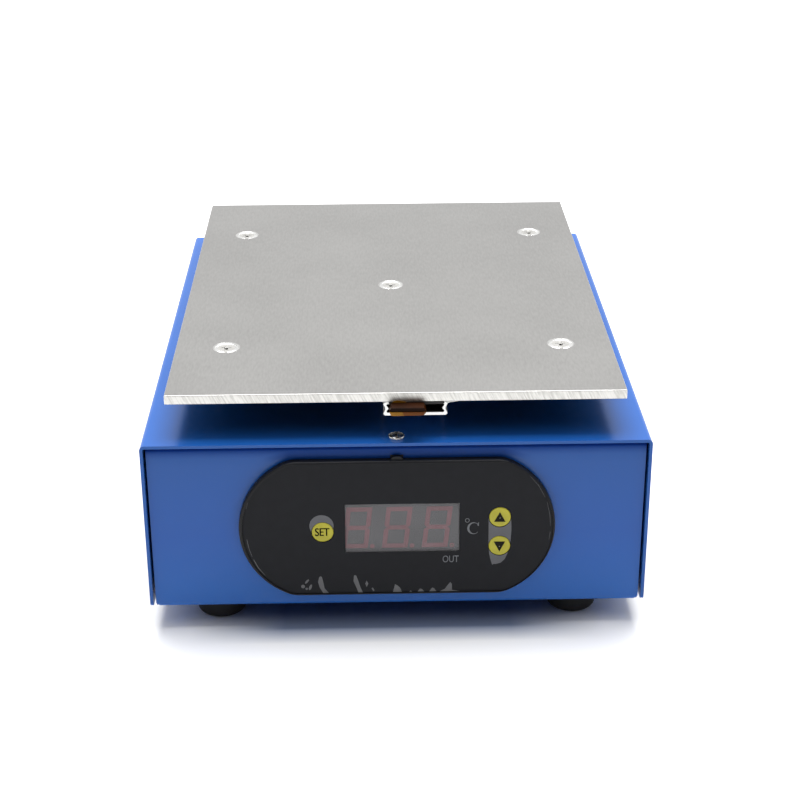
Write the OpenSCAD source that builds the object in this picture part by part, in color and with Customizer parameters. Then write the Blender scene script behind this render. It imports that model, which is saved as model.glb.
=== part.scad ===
// Bench separator for phone displays: an aluminium heating plate on four spacers above a
// folded steel housing, with a panel controller in front and a mains inlet behind.
// Millimetres. The origin is on the bench below the middle of the object, and the front faces -Y.

/* [Housing] */
// Width over the sides of the cover
cover_w = 156; // [150:1:200]
// Depth of the cover from its front edge to its rear edge
cover_d = 196; // [160:1:240]
// Height of the cover's top face above the bench
cover_top = 65; // [62:1:90]
// Thickness of the housing's sheet steel
sheet_t = 1; // [0.8:0.1:1.2]
// Inside radius of every fold in the sheet
fold_r = 0.5; // [0.3:0.1:0.8]
// How far the front and rear panels stand back from the cover's edges
panel_recess = 1.3; // [0.8:0.1:2]
// Gap between each side edge of a panel and the cover
panel_gap = 0.7; // [0.5:0.1:1]
// Clearance where the cover sits on the tray
seat_gap = 0.2; // [0.1:0.1:0.4]
// Depth of the return flange along the top of each panel
flange_d = 13; // [11:0.5:16]
// Height of the upturned flanges that locate the cover's sides
side_flange_h = 14; // [10:1:18]
// How far the cover's sides end above the underside of the tray
side_lift = 0.8; // [0.4:0.1:2]
// Radius on the lower corners of the cover's sides
side_corner_r = 1.6; // [1:0.1:3]
// Size of the relief notch in each lower corner of a panel
relief = 2.2; // [1.5:0.1:3]

/* [Vents] */
// Number of vent slots in each side of the cover
side_vents = 9; // [5:1:12]
// Length of a vent slot
vent_l = 20; // [14:1:24]
// Width of a vent slot
vent_w = 2.6; // [2:0.1:3.5]
// Spacing of the vent slots
vent_pitch = 7; // [5:0.5:9]
// Number of vent slots in each row in the floor
floor_vents = 7; // [4:1:9]

/* [Heating plate] */
// Width of the plate
plate_w = 140; // [120:1:170]
// Depth of the plate
plate_d = 188; // [150:1:220]
// Thickness of the plate
plate_t = 3; // [2.5:0.1:5]
// Clear height between the cover and the underside of the plate
plate_gap = 11.9; // [11:0.1:16]
// Spacing of the corner screws across the plate
screw_span_x = 107.5; // [90:0.5:125]
// Spacing of the corner screws along the plate
screw_span_y = 112.5; // [90:0.5:140]
// Thread diameter of the plate's screws
plate_screw_d = 4; // [3:0.5:5]
// Head diameter of the plate's countersunk screws
plate_head_d = 8.4; // [7.5:0.1:9.5]
// Length of the corner screws
plate_screw_l = 25; // [23:1:30]
// Outside diameter of the spacers under the plate
spacer_d = 8; // [7:0.5:10]
// Clearance on the diameter of a screw hole
hole_clear = 0.4; // [0.2:0.1:0.8]
// Clearance on the diameter where a screw runs in a nut or a tapped hole
thread_clear = 0.1; // [0.05:0.05:0.2]

/* [Heaters] */
// Outside width of a heater tube
tube_w = 19.5; // [16:0.5:24]
// Outside height of a heater tube
tube_h = 4.5; // [4.2:0.1:5.5]
// Wall of a heater tube at its sides and its underside
tube_wall = 1; // [0.8:0.1:1.4]
// Wall of a heater tube where it lies against the plate
tube_top_wall = 0.7; // [0.5:0.1:1.2]
// How far the pressed sides of a tube are dented inward
tube_dent = 0.6; // [0.4:0.1:1]
// Length of a heater tube
tube_l = 82; // [60:1:84]
// Distance of the tubes' middle to the right of the plate's middle
tube_x = 5.8; // [3:0.1:8]
// Width of the film-wrapped heater core
core_w = 11.8; // [9:0.1:13]
// How far a core stands out of its tube at the plate's edge
core_out = 4.4; // [0:0.1:5]
// Clearance of the core inside its tube
core_clear = 0.15; // [0.1:0.05:0.3]
// Width of the clamp bar across the tubes
clamp_w = 24; // [20:1:30]
// Length of the clamp bar from tube to tube
clamp_l = 42; // [38:1:50]
// Thickness of the clamp bar
clamp_t = 1.5; // [1:0.1:2]
// Diameter of the temperature probe
probe_d = 4; // [3:0.1:4.2]
// Length of the temperature probe
probe_l = 14; // [8:1:16]

/* [Controller] */
// Width of the bezel
bezel_w = 98; // [94:0.5:100]
// Height of the bezel
bezel_h = 46.7; // [45:0.1:48]
// Radius of the bezel's curved ends
bezel_end_r = 24.9; // [24.2:0.1:27]
// Radius that blends the curved ends into the straight edges
bezel_corner_r = 9; // [4:0.5:16]
// How far the bezel stands out from the panel
bezel_t = 2.5; // [2:0.1:4]
// Radius round the bezel's front edge
bezel_edge_r = 0.7; // [0.4:0.1:1]
// Distance of the bezel's middle below the middle of the panel
bezel_drop = 0.45; // [0:0.05:2]
// Width of the raised rim round the label
rim_w = 1.3; // [1.2:0.1:3]
// How far the label sits to the right of the bezel's middle
label_x = 0.5; // [0:0.1:0.6]
// Height of the rim above the floor that the label lies on
rim_h = 0.9; // [0.7:0.1:1.2]
// Thickness of the label
label_t = 0.5; // [0.3:0.05:0.7]
// Clearance round the label
label_gap = 0.1; // [0.05:0.05:0.3]
// Width of the part of the bezel behind the panel
skirt_w = 78; // [76:0.5:80]
// Height of the part of the bezel behind the panel
skirt_h = 34; // [33:0.5:35]
// Wall of that part
skirt_wall = 1.8; // [1.2:0.1:2]
// Depth of that part behind the panel
skirt_d = 20; // [14:1:26]
// Clearance between that part and the opening in the panel
skirt_gap = 0.3; // [0.2:0.1:0.5]
// Width of the clear window
window_w = 35.4; // [30:0.1:37]
// Height of the clear window
window_h = 16.8; // [15:0.1:18]
// Window's middle to the right of the bezel's middle
window_x = 1.6; // [0:0.1:3]
// Width of the display module
display_w = 37.6; // [36:0.1:39]
// Height of the display module
display_h = 19; // [17:0.1:20]
// Thickness of the display module
display_t = 8; // [7:0.1:9]
// Display module's middle to the right of the bezel's middle
display_x = 0.5; // [0:0.1:2]
// Spacing of the digits
digit_pitch = 12.7; // [12:0.1:13]
// Height of a digit
digit_h = 14.2; // [12:0.1:15]
// Width of a digit
digit_w = 7.9; // [7:0.1:8.5]
// Width of one segment of a digit
segment_w = 1.4; // [1:0.1:1.7]
// Lean of the digits in degrees
digit_lean = 7; // [0:1:10]
// Diameter of a key
key_d = 6.7; // [6:0.1:7.5]
// Clearance round a key
key_gap = 0.15; // [0.1:0.05:0.3]
// Travel of a key
key_travel = 0.3; // [0.2:0.05:0.4]

/* [Rear fittings] */
// Width of the mains inlet's flange
inlet_w = 50; // [48:0.5:52]
// Height of the mains inlet's flange
inlet_h = 31; // [30:0.5:32]
// Thickness of the mains inlet's flange
inlet_t = 2.2; // [1.8:0.1:3]
// Spacing of the inlet's two screws
inlet_span = 40; // [39:0.5:41]
// Travel of the fuse drawer
drawer_travel = 14; // [8:1:16]
// Height of the power switch's frame
switch_h = 21; // [20:0.5:22]
// Width of the power switch's frame
switch_w = 15; // [14.5:0.5:16]
// Thickness of the power switch's frame
switch_t = 1.8; // [1.5:0.1:2.5]
// Tilt of the rocker to each side in degrees
rocker_tilt = 12; // [8:1:14]

/* [Feet] */
// Height of a foot
foot_h = 8; // [6:0.5:12]
// Diameter of a foot at the top
foot_d = 17; // [14:0.5:20]
// Diameter of a foot where it meets the bench
foot_low_d = 15.6; // [12:0.1:17]
// Distance of a foot's middle from the side of the cover
foot_inset_x = 21.25; // [16:0.25:30]
// Distance of a foot's middle from the edge of the cover
foot_inset_y = 15; // [12:0.5:30]

/* [Electronics] */
// Width of the power board
board_w = 96; // [90:1:104]
// Depth of the power board
board_d = 62; // [58:1:70]
// Thickness of the circuit boards
board_t = 1.6; // [1:0.1:2]
// Height of the power board above the floor
board_lift = 7; // [5:0.5:10]

/* [Wiring] */
// Diameter of a heater lead
heater_lead_d = 1.8; // [1.4:0.1:2]
// Diameter of the temperature probe's lead
probe_lead_d = 1.6; // [1.2:0.1:2]
// Diameter of a mains wire
mains_wire_d = 2.2; // [1.8:0.1:2.4]
// Number of wires in the display cable
ribbon_ways = 6; // [4:1:8]

/* [Hidden] */
$fn = 48;
// Small overlap for cuts
cut = 0.5;
// Screw and nut sizes: thread, head or width across flats, height
pan_m3_head = 5.6;
pan_m3_h = 2.1;
nut_m4_af = 7;
nut_m4_h = 3.2;
nut_m3_af = 5.5;
nut_m3_h = 2.4;
washer_m4_d = 9;
washer_m4_h = 0.8;
m3 = 3;
m4 = 4;
cover_screw_d = 2.6;
cover_head_d = 5;
cover_head_h = 1.9;
cover_screw_l = 8;
cover_screw_in = 4.3;

// Rocker, measured from its pivot
rocker_r = 8.4;
rocker_crown = 3;
rocker_w = 10.4;
rocker_sink = 3;
rocker_gap = 0.3;
pivot_depth = 1;
trunnion_d = 2;
trunnion_clear = 0.1;
switch_body_h = 18.8;
switch_body_w = 12.6;
switch_body_d = 15;
rocker_tip = rocker_r * sin(2 * rocker_tilt + asin(rocker_crown * cos(rocker_tilt) / rocker_r))
    - pivot_depth;

// Places along the object
front_out = bezel_t - panel_recess;
rear_out = rocker_tip - panel_recess;
front_edge = front_out - (cover_d + front_out + rear_out) / 2;
rear_edge = front_edge + cover_d;
mid_y = (front_edge + rear_edge) / 2;
front_face = front_edge + panel_recess;
rear_face = rear_edge - panel_recess;

// Heights
floor_top = foot_h + sheet_t;
tray_top = cover_top - sheet_t - seat_gap;
plate_bottom = cover_top + plate_gap;
plate_top = plate_bottom + plate_t;
tube_bottom = plate_bottom - tube_h;
clamp_bottom = tube_bottom - clamp_t;
bezel_z = (foot_h + cover_top) / 2 - bezel_drop;
rear_z = (foot_h + cover_top) / 2;

// Heater sections
dent_steps = 10;
tube_inside_h = tube_h - tube_wall - tube_top_wall;
core_left = -tube_w / 2 + tube_wall + tube_dent + core_clear;
core_l = tube_l + core_out - 2;

// Widths
panel_w = cover_w - 2 * (sheet_t + panel_gap);
bend_out = fold_r + sheet_t;

// Controller depths, measured back from the panel's outer face
label_floor = -(bezel_t - rim_h);
label_front = label_floor - label_t;
display_face = label_floor + 0.3;
display_back = display_face + display_t;
segment_t = 0.1;
key_front = label_front;
key_t = 0.6;
key_pocket = key_t - label_t + key_travel + 0.1;
key_stem_d = 3.6;
switch_front = display_back - 3.4;
button_front = switch_front - 1.1;
button_d = 3.4;
button_in = 1;
tact = 6;
end_c = bezel_w / 2 - bezel_end_r;
corner_z = bezel_h / 2 - bezel_corner_r;
corner_x = end_c + sqrt(pow(bezel_end_r - bezel_corner_r, 2) - pow(corner_z, 2));
boss_x = 33.9;
boss_z = 12;
boss_d = 4.4;
display_board_w = skirt_w - 2 * skirt_wall - 0.6;
display_board_h = skirt_h - 2 * skirt_wall - 0.6;
window_z = 0.2;
set_key_at = [-23.1, -0.9];
up_key_at = [31.8, 3.5];
down_key_at = [31.8, -6.5];
tab_w = 4;
tab_h = 1.1;

// Rear fittings, measured outward from the rear panel's outer face
inlet_body_w = 28;
inlet_body_h = 29.6;
inlet_body_d = 20;
inlet_x = panel_w / 2 - 11.3 - inlet_w / 2;
socket_w = 24.6;
socket_h = 17;
socket_z = 4.8;
socket_chamfer = 4.4;
socket_d = 16;
pin_w = 2;
pin_h = 4;
pin_short = 2.2;
pin_gap = 0.1;
pins_at = [[0, 2], [-7, -2], [7, -2]];
drawer_w = 24;
drawer_h = 6.4;
// The drawer keeps hold of the inlet when it is pulled out
drawer_l = drawer_travel + 3;
drawer_z = -9.5;
drawer_lip = 0.8;
drawer_gap = 0.2;
fuse_d = 5.2;
fuse_l = 20;
switch_x = inlet_x - inlet_w / 2 - switch_w / 2 - 12;

// Board places
board_x = -16;
board_y = mid_y + 8;
board_z = floor_top + board_lift;
board_top = board_z + board_t;
board_hole_in = 4;
standoff_d = 6;
core_at = [board_x + 26, board_y + 8];
core_size = [34, 14, 28];
core_limb = 10;
core_yoke = 5;
relay_h = 15.5;
terminal_ways = 6;
terminal_pitch = 7.62;
earth_at = [inlet_x, rear_face - inlet_body_d - 22];
terminal_at = [board_x - 12, board_y - board_d / 2 + 13];
way_lift = 4.2;
way_z = board_top + way_lift;

// Wiring places
wire_steps = 4;
ribbon_x = 8;
plug_x = 22;
plug_back = display_back + board_t + 5;
pin_z = rear_z + pins_at[1][1] + socket_z;
tab_l = 8;
sleeve_l = 15;
sleeve_y = rear_face - inlet_body_d - 0.7;

// Grommet beside the clamp bar
grommet_x = tube_x + clamp_w / 2 + 8;
grommet_neck = 10;
grommet_hole = 7;
grommet_d = 13;
grommet_h = 1.6;

// Flat shapes that are drawn in Y and Z and pulled along X, or in X and Z and pulled along Y
module along_x(w) { rotate([90, 0, 90]) linear_extrude(w, center = true) children(); }
module along_y(d) { rotate([90, 0, 0]) linear_extrude(d, center = true) children(); }

// A shape drawn in X and Z that starts at the outer face of a panel and goes back or out
module from_front(near, far) {
    translate([0, front_face + (near + far) / 2, bezel_z]) along_y(far - near) children();
}
module from_rear(near, far) {
    translate([0, rear_face + (near + far) / 2, rear_z]) along_y(far - near) children();
}

module slot(len, wid) {
    square([len - wid, wid], center = true);
    for (s = [-1, 1]) translate([s * (len - wid) / 2, 0]) circle(d = wid);
}

module round_rect(w, h, r) {
    square([w - 2 * r, h], center = true);
    square([w, h - 2 * r], center = true);
    for (x = [-1, 1], y = [-1, 1]) translate([x * (w / 2 - r), y * (h / 2 - r)]) circle(r);
}

// A quarter of a folded strip, with its inside corner towards the quadrant that starts at angle a
module fold(a) {
    rotate(a) intersection() {
        difference() {
            circle(bend_out);
            circle(fold_r);
        }
        square(bend_out);
    }
}

module corners(x, y, z) {
    for (sx = [-1, 1], sy = [-1, 1]) translate([sx * x, mid_y + sy * y, z]) children();
}

// Screws hang down from z = 0: under the head of a pan screw, level with the top of a countersunk one
module pan_screw(d, head_d, head_h, length) {
    translate([0, 0, -length]) cylinder(d = d, h = length);
    rotate_extrude() intersection() {
        translate([0, head_h - head_d]) circle(head_d);
        square([head_d / 2, head_h]);
    }
}

module countersunk_screw(d, head_d, length) {
    translate([0, 0, -length]) cylinder(d = d, h = length);
    translate([0, 0, -(head_d - d) / 2 - 0.3]) cylinder(d1 = d, d2 = head_d, h = (head_d - d) / 2);
    translate([0, 0, -0.3]) cylinder(d = head_d, h = 0.3);
}

module hex_nut(af, d, h) {
    difference() {
        cylinder(d = af / cos(30), h = h, $fn = 6);
        translate([0, 0, -cut]) cylinder(d = d + thread_clear, h = h + 2 * cut);
    }
}

// Housing: a folded cover over a folded tray
module top_cover() {
    half = cover_w / 2;
    side_bottom = foot_h + side_lift;
    color([0.16, 0.36, 0.66]) difference() {
        translate([0, mid_y, 0]) along_y(cover_d) {
            translate([-half + bend_out, cover_top - sheet_t])
                square([cover_w - 2 * bend_out, sheet_t]);
            for (s = [-1, 1]) {
                translate([s > 0 ? half - sheet_t : -half, side_bottom])
                    square([sheet_t, cover_top - bend_out - side_bottom]);
                translate([s * (half - bend_out), cover_top - bend_out]) fold(s > 0 ? 0 : 90);
            }
        }
        corners(screw_span_x / 2, screw_span_y / 2, cover_top - sheet_t - cut)
            cylinder(d = plate_screw_d + hole_clear, h = sheet_t + 2 * cut);
        for (y = [front_edge + cover_screw_in, rear_edge - cover_screw_in])
            translate([0, y, cover_top - sheet_t - cut])
                cylinder(d = cover_screw_d + hole_clear, h = sheet_t + 2 * cut);
        translate([grommet_x, mid_y, cover_top - sheet_t - cut])
            cylinder(d = grommet_neck, h = sheet_t + 2 * cut);
        for (s = [-1, 1]) {
            // Vents, one row in each side
            for (i = [0:side_vents - 1])
                translate([s * half, mid_y + (i - (side_vents - 1) / 2) * vent_pitch, rear_z])
                    along_x(4 * sheet_t) rotate(90) slot(vent_l, vent_w);
            // Rounded lower corners of the sides
            for (e = [-1, 1])
                translate([s * half, mid_y + e * (cover_d / 2 - side_corner_r),
                           side_bottom + side_corner_r])
                    along_x(4 * sheet_t) difference() {
                        translate([e > 0 ? 0 : -side_corner_r - cut, -side_corner_r - cut])
                            square(side_corner_r + cut);
                        circle(side_corner_r);
                    }
        }
    }
}

module panel_profile() {
    // One panel with its folds, drawn in Y and Z with its outer face at y = 0
    translate([0, foot_h + bend_out]) square([sheet_t, tray_top - foot_h - 2 * bend_out]);
    translate([bend_out, foot_h + bend_out]) fold(180);
    translate([bend_out, tray_top - bend_out]) fold(90);
    translate([bend_out, tray_top - sheet_t]) square([flange_d - bend_out, sheet_t]);
}

module side_flange_profile() {
    // Upturned edge of the floor, drawn in X and Z with its outer face at x = 0
    translate([-sheet_t, foot_h + bend_out]) square([sheet_t, side_flange_h - bend_out]);
    translate([-bend_out, foot_h + bend_out]) fold(270);
    translate([-3 * bend_out, foot_h]) square([2 * bend_out, sheet_t]);
}

module chassis_tray() {
    tray_d = rear_face - front_face;
    side_x = cover_w / 2 - sheet_t - seat_gap;
    flange_l = tray_d - 36;
    color([0.16, 0.36, 0.66]) difference() {
        union() {
            along_x(panel_w) {
                translate([front_face, 0]) panel_profile();
                translate([rear_face, 0]) mirror([1, 0]) panel_profile();
                translate([front_face + bend_out, foot_h])
                    square([tray_d - 2 * bend_out, sheet_t]);
            }
            translate([0, mid_y, 0]) along_y(flange_l) for (s = [0, 1])
                mirror([s, 0]) translate([side_x, 0]) side_flange_profile();
        }
        // Opening for the controller
        from_front(-cut, sheet_t + cut)
            round_rect(skirt_w + 2 * skirt_gap, skirt_h + 2 * skirt_gap, 2);
        // Openings for the mains inlet and the switch
        from_rear(-sheet_t - cut, cut) {
            translate([inlet_x, 0])
                square([inlet_body_w + 0.4, inlet_body_h + 0.4], center = true);
            for (s = [-1, 1]) translate([inlet_x + s * inlet_span / 2, 0])
                circle(d = m3 + hole_clear);
            translate([switch_x, 0])
                square([switch_body_w + 0.6, switch_body_h + 0.6], center = true);
        }
        // Holes for the cover's screws, the feet, the board's standoffs and the vents
        for (y = [front_edge + cover_screw_in, rear_edge - cover_screw_in])
            translate([0, y, tray_top - sheet_t - cut])
                cylinder(d = cover_screw_d + thread_clear, h = sheet_t + 2 * cut);
        foot_places() translate([0, 0, foot_h - cut])
            cylinder(d = m4 + hole_clear, h = sheet_t + 2 * cut);
        board_holes(foot_h - cut) cylinder(d = m3 + hole_clear, h = sheet_t + 2 * cut);
        for (row = [-1, 1], i = [0:floor_vents - 1])
            translate([(i - (floor_vents - 1) / 2) * vent_pitch,
                       board_y + row * (board_d / 2 + vent_l / 2 + 8), foot_h - cut])
                linear_extrude(sheet_t + 2 * cut) rotate(90) slot(vent_l, vent_w);
        // Relief notches in the lower corners of both panels
        for (s = [-1, 1], e = [-1, 1])
            translate([s * panel_w / 2, mid_y + e * tray_d / 2, foot_h])
                rotate([0, 45, 0]) cube([relief, 2 * bend_out, relief], center = true);
    }
}

// Plate and what holds it
module heating_plate() {
    color([0.72, 0.72, 0.71]) difference() {
        translate([-plate_w / 2, mid_y - plate_d / 2, plate_bottom])
            cube([plate_w, plate_d, plate_t]);
        corners(screw_span_x / 2, screw_span_y / 2, plate_top) screw_seat();
        translate([0, mid_y, plate_top]) screw_seat();
    }
}

module screw_seat() {
    sink = (plate_head_d - plate_screw_d) / 2;
    translate([0, 0, -plate_t - cut])
        cylinder(d = plate_screw_d + hole_clear, h = plate_t + 2 * cut);
    translate([0, 0, -0.4 - sink])
        cylinder(d1 = plate_screw_d + hole_clear, d2 = plate_head_d + hole_clear, h = sink);
    translate([0, 0, -0.4]) cylinder(d = plate_head_d + hole_clear, h = 0.4 + cut);
}

module plate_screws() {
    color([0.8, 0.8, 0.8]) corners(screw_span_x / 2, screw_span_y / 2, plate_top - 0.05)
        countersunk_screw(plate_screw_d, plate_head_d, plate_screw_l);
}

module centre_screw() {
    color([0.8, 0.8, 0.8]) translate([0, mid_y, plate_top - 0.05])
        countersunk_screw(plate_screw_d, plate_head_d,
                          plate_top - clamp_bottom + nut_m4_h + 0.5);
}

module plate_spacers() {
    color([0.75, 0.75, 0.75]) corners(screw_span_x / 2, screw_span_y / 2, cover_top)
        difference() {
            cylinder(d = spacer_d, h = plate_gap);
            translate([0, 0, -cut])
                cylinder(d = plate_screw_d + hole_clear, h = plate_gap + 2 * cut);
        }
}

module plate_washers() {
    color([0.75, 0.75, 0.75])
        corners(screw_span_x / 2, screw_span_y / 2, cover_top - sheet_t - washer_m4_h)
            difference() {
                cylinder(d = washer_m4_d, h = washer_m4_h);
                translate([0, 0, -cut])
                    cylinder(d = plate_screw_d + hole_clear, h = washer_m4_h + 2 * cut);
            }
}

module plate_nuts() {
    color([0.75, 0.75, 0.75])
        corners(screw_span_x / 2, screw_span_y / 2, cover_top - sheet_t - washer_m4_h - nut_m4_h)
            hex_nut(nut_m4_af, plate_screw_d, nut_m4_h);
}

// Heaters: a pressed tube with dented sides round a flat core wrapped in film
function tube_side(w, h, dent, soft) = concat(
    [[w - soft, 0]],
    [for (i = [0:dent_steps]) [w - dent * (1 - cos(360 * i / dent_steps)) / 2,
                               soft + (h - 2 * soft) * i / dent_steps]],
    [[w - soft, h]]
);

function mirrored(side) = concat(side, [for (i = [len(side) - 1:-1:0]) [-side[i][0], side[i][1]]]);

module tube_profile() {
    difference() {
        polygon(mirrored(tube_side(tube_w / 2, tube_h, tube_dent, 0.5)));
        translate([0, tube_wall]) polygon(mirrored(
            tube_side(tube_w / 2 - tube_wall, tube_inside_h, tube_dent, 0.3)));
    }
}

module core_profile() {
    h = tube_inside_h - 2 * core_clear;
    soft = 0.28 * h;
    translate([core_left, tube_wall + core_clear]) polygon([
        [0, h / 2], [soft, 0], [core_w - soft, 0], [core_w, h / 2], [core_w - soft, h], [soft, h]
    ]);
}

// Both heaters are the same and lie end to end, so the rear one is turned to face the rear
module heater_place(rear) {
    at = plate_d / 2 * (rear ? 1 : -1);
    translate([tube_x, mid_y + at, tube_bottom]) mirror([0, rear ? 1 : 0, 0]) children();
}

module heater_tube(rear) {
    color([0.85, 0.85, 0.85]) heater_place(rear)
        translate([0, tube_l / 2, 0]) along_y(tube_l) tube_profile();
}

module heater_core(rear) {
    color([0.55, 0.3, 0.08]) heater_place(rear)
        translate([0, core_l / 2 - core_out, 0]) along_y(core_l) core_profile();
}

module heater_tube_front() { heater_tube(false); }
module heater_tube_rear() { heater_tube(true); }
module heater_core_front() { heater_core(false); }
module heater_core_rear() { heater_core(true); }

// Clamp bar with turned-down edges, pulled up against both tubes by the centre screw
module heater_clamp() {
    lip = 2.5;
    color([0.7, 0.7, 0.7]) difference() {
        translate([tube_x, mid_y, clamp_bottom]) {
            linear_extrude(clamp_t) round_rect(clamp_w, clamp_l, 2);
            for (s = [-1, 1]) translate([s * (clamp_w - clamp_t) / 2, 0, clamp_t - lip / 2 - 0.75])
                cube([clamp_t, clamp_l - 8, lip + 1.5 - clamp_t], center = true);
        }
        translate([0, mid_y, clamp_bottom - cut])
            cylinder(d = plate_screw_d + hole_clear, h = clamp_t + 2 * cut);
    }
}

module clamp_nut() {
    color([0.75, 0.75, 0.75]) translate([0, mid_y, clamp_bottom - nut_m4_h])
        hex_nut(nut_m4_af, plate_screw_d, nut_m4_h);
}

module temperature_probe() {
    color([0.75, 0.75, 0.75])
        translate([plate_head_d / 2 + 0.5, mid_y, tube_bottom + probe_d / 2]) {
            rotate([0, 90, 0]) cylinder(d = probe_d, h = probe_l);
            sphere(d = probe_d);
        }
}

module cable_grommet() {
    color([0.08, 0.08, 0.08]) translate([grommet_x, mid_y, 0]) difference() {
        rotate_extrude() {
            translate([0, cover_top - sheet_t - grommet_h])
                square([grommet_d / 2, grommet_h]);
            translate([0, cover_top - sheet_t - cut])
                square([grommet_neck / 2 - 0.1, sheet_t + 2 * cut]);
            translate([0, cover_top]) square([grommet_d / 2 - grommet_h, grommet_h]);
            translate([grommet_d / 2 - grommet_h, cover_top]) intersection() {
                circle(grommet_h);
                square(grommet_h);
            }
        }
        translate([0, 0, cover_top - sheet_t - grommet_h - cut])
            cylinder(d = grommet_hole, h = sheet_t + 2 * grommet_h + 2 * cut);
    }
}

// Controller. Its outline is a flat band with curved ends.
module bezel_outline(inset) {
    square([2 * corner_x, bezel_h - 2 * inset], center = true);
    for (s = [0, 1]) mirror([s, 0]) {
        for (z = [-1, 1]) translate([corner_x, z * corner_z]) circle(bezel_corner_r - inset);
        intersection() {
            translate([end_c, 0]) circle(bezel_end_r - inset);
            polygon([
                [end_c, 0], [end_c + 4 * (corner_x - end_c), -4 * corner_z],
                [end_c + 4 * (corner_x - end_c), 4 * corner_z]
            ]);
        }
    }
}

// Half of a section through the bezel's edge: distance from the middle, then height off the panel
module edge_section(half) {
    polygon(concat([[0, bezel_t], [0, 0], [half, 0]], [for (k = [0:3])
        [half, bezel_t] - bezel_edge_r * [1 - cos(30 * k), 1 - sin(30 * k)]]));
}

// Part of a disc with the same rounded edge, between two angles
module edge_sector(r, from, to) {
    rotate([90, 0, 0]) rotate([0, 0, from]) rotate_extrude(angle = to - from, $fn = 96)
        edge_section(r);
}

module bezel_blank() {
    end_turn = atan2(corner_z, corner_x - end_c);
    along_x(2 * corner_x) for (s = [0, 1]) mirror([0, s]) rotate(90) edge_section(bezel_h / 2);
    for (s = [0, 1]) mirror([s, 0, 0]) {
        for (m = [0, 1]) mirror([0, 0, m]) translate([corner_x, 0, corner_z])
            edge_sector(bezel_corner_r, end_turn, 90);
        translate([end_c, 0, 0]) edge_sector(bezel_end_r, -end_turn, end_turn);
    }
}

module key_places() {
    for (at = [set_key_at, up_key_at, down_key_at]) translate(at) children();
}

module controller_bezel() {
    color([0.09, 0.09, 0.1]) {
        difference() {
            union() {
                translate([0, front_face, bezel_z]) bezel_blank();
                from_front(-cut, skirt_d) round_rect(skirt_w, skirt_h, 1.7);
                // Tab on the upper edge for releasing the bezel
                from_front(-bezel_t + 1, 0) translate([0, bezel_h / 2])
                    square([tab_w, 2 * tab_h], center = true);
            }
            // Recess for the label, then the window, the keys and the space behind
            from_front(-bezel_t - cut, label_floor) translate([label_x, 0]) bezel_outline(rim_w);
            from_front(label_floor - cut, cut) translate([display_x, window_z])
                square([display_w + 0.4, display_h + 0.4], center = true);
            from_front(label_floor - cut, label_floor + key_pocket) key_places()
                circle(d = key_d + 2 * key_gap);
            from_front(label_floor, cut) key_places() circle(d = key_stem_d + 4 * key_gap);
            from_front(0, skirt_d + cut)
                round_rect(skirt_w - 2 * skirt_wall, skirt_h - 2 * skirt_wall, 0.8);
        }
        // Bosses for the display board
        for (x = [-1, 1], z = [-1, 1]) difference() {
            from_front(-cut, display_back) translate([x * boss_x, z * boss_z]) circle(d = boss_d);
            from_front(1, display_back + cut) translate([x * boss_x, z * boss_z]) circle(d = 2);
        }
        // Snap hooks that hold the skirt behind the panel
        for (x = [-1, 1], z = [0, 1])
            translate([x * skirt_w / 4, front_face, bezel_z]) mirror([0, 0, z])
                along_x(8) polygon([
                    [sheet_t + 0.15, skirt_h / 2 - 0.4], [sheet_t + 0.15, skirt_h / 2 + 1.3],
                    [sheet_t + 1, skirt_h / 2 + 1.3], [sheet_t + 5, skirt_h / 2],
                    [sheet_t + 5, skirt_h / 2 - 0.4]
                ]);
    }
}

module membrane_label() {
    color([0.13, 0.14, 0.15]) difference() {
        from_front(label_front, label_floor) translate([label_x, 0])
            bezel_outline(rim_w + label_gap);
        from_front(label_front - cut, label_floor + cut) {
            translate([window_x, window_z]) square([window_w, window_h], center = true);
            key_places() circle(d = key_d + 2 * key_gap);
        }
    }
}

module display_window() {
    color([0.42, 0.42, 0.44], 0.7) from_front(label_front + 0.05, label_floor)
        translate([window_x, window_z])
            square([window_w - label_gap, window_h - label_gap], center = true);
}

module led_display() {
    color([0.4, 0.4, 0.41]) from_front(display_face, display_back)
        translate([display_x, window_z]) square([display_w, display_h], center = true);
}

// One segment: a bar with pointed ends, leaning like the digit it belongs to
function lean(p) = [p[0] + p[1] * tan(digit_lean), p[1]];
function bar(l) = [
    [-l / 2, 0], [-l / 2 + segment_w / 2, segment_w / 2], [l / 2 - segment_w / 2, segment_w / 2],
    [l / 2, 0], [l / 2 - segment_w / 2, -segment_w / 2], [-l / 2 + segment_w / 2, -segment_w / 2]
];

module digit() {
    gap = 0.25;
    across = digit_w - segment_w - gap;
    upright = (digit_h - segment_w) / 2 - gap;
    for (row = [-1:1])
        polygon([for (p = bar(across)) lean(p + [0, row * (digit_h - segment_w) / 2])]);
    for (side = [-1, 1], row = [-1, 1])
        polygon([for (p = bar(upright))
            lean([p[1] + side * (digit_w - segment_w) / 2, p[0] + row * (digit_h - segment_w) / 4])]);
    translate([digit_w / 2 + 0.9, -digit_h / 2 + segment_w / 2]) circle(d = 1.2 * segment_w);
}

module led_segments() {
    color([0.62, 0.42, 0.44]) from_front(display_face - segment_t, display_face)
        for (i = [-1:1]) translate([display_x - 0.5 + i * digit_pitch, window_z]) digit();
}

// Keys and the switches behind them
module key(at) {
    color([0.85, 0.8, 0.12]) translate([at[0], 0, at[1]]) {
        from_front(key_front, key_front + key_t) circle(d = key_d);
        from_front(key_front + key_t - 0.1, button_front) circle(d = key_stem_d);
    }
}

module tact_button(at) {
    color([0.1, 0.1, 0.1]) translate([at[0], 0, at[1]])
        from_front(button_front, switch_front + button_in) circle(d = button_d);
}

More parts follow.
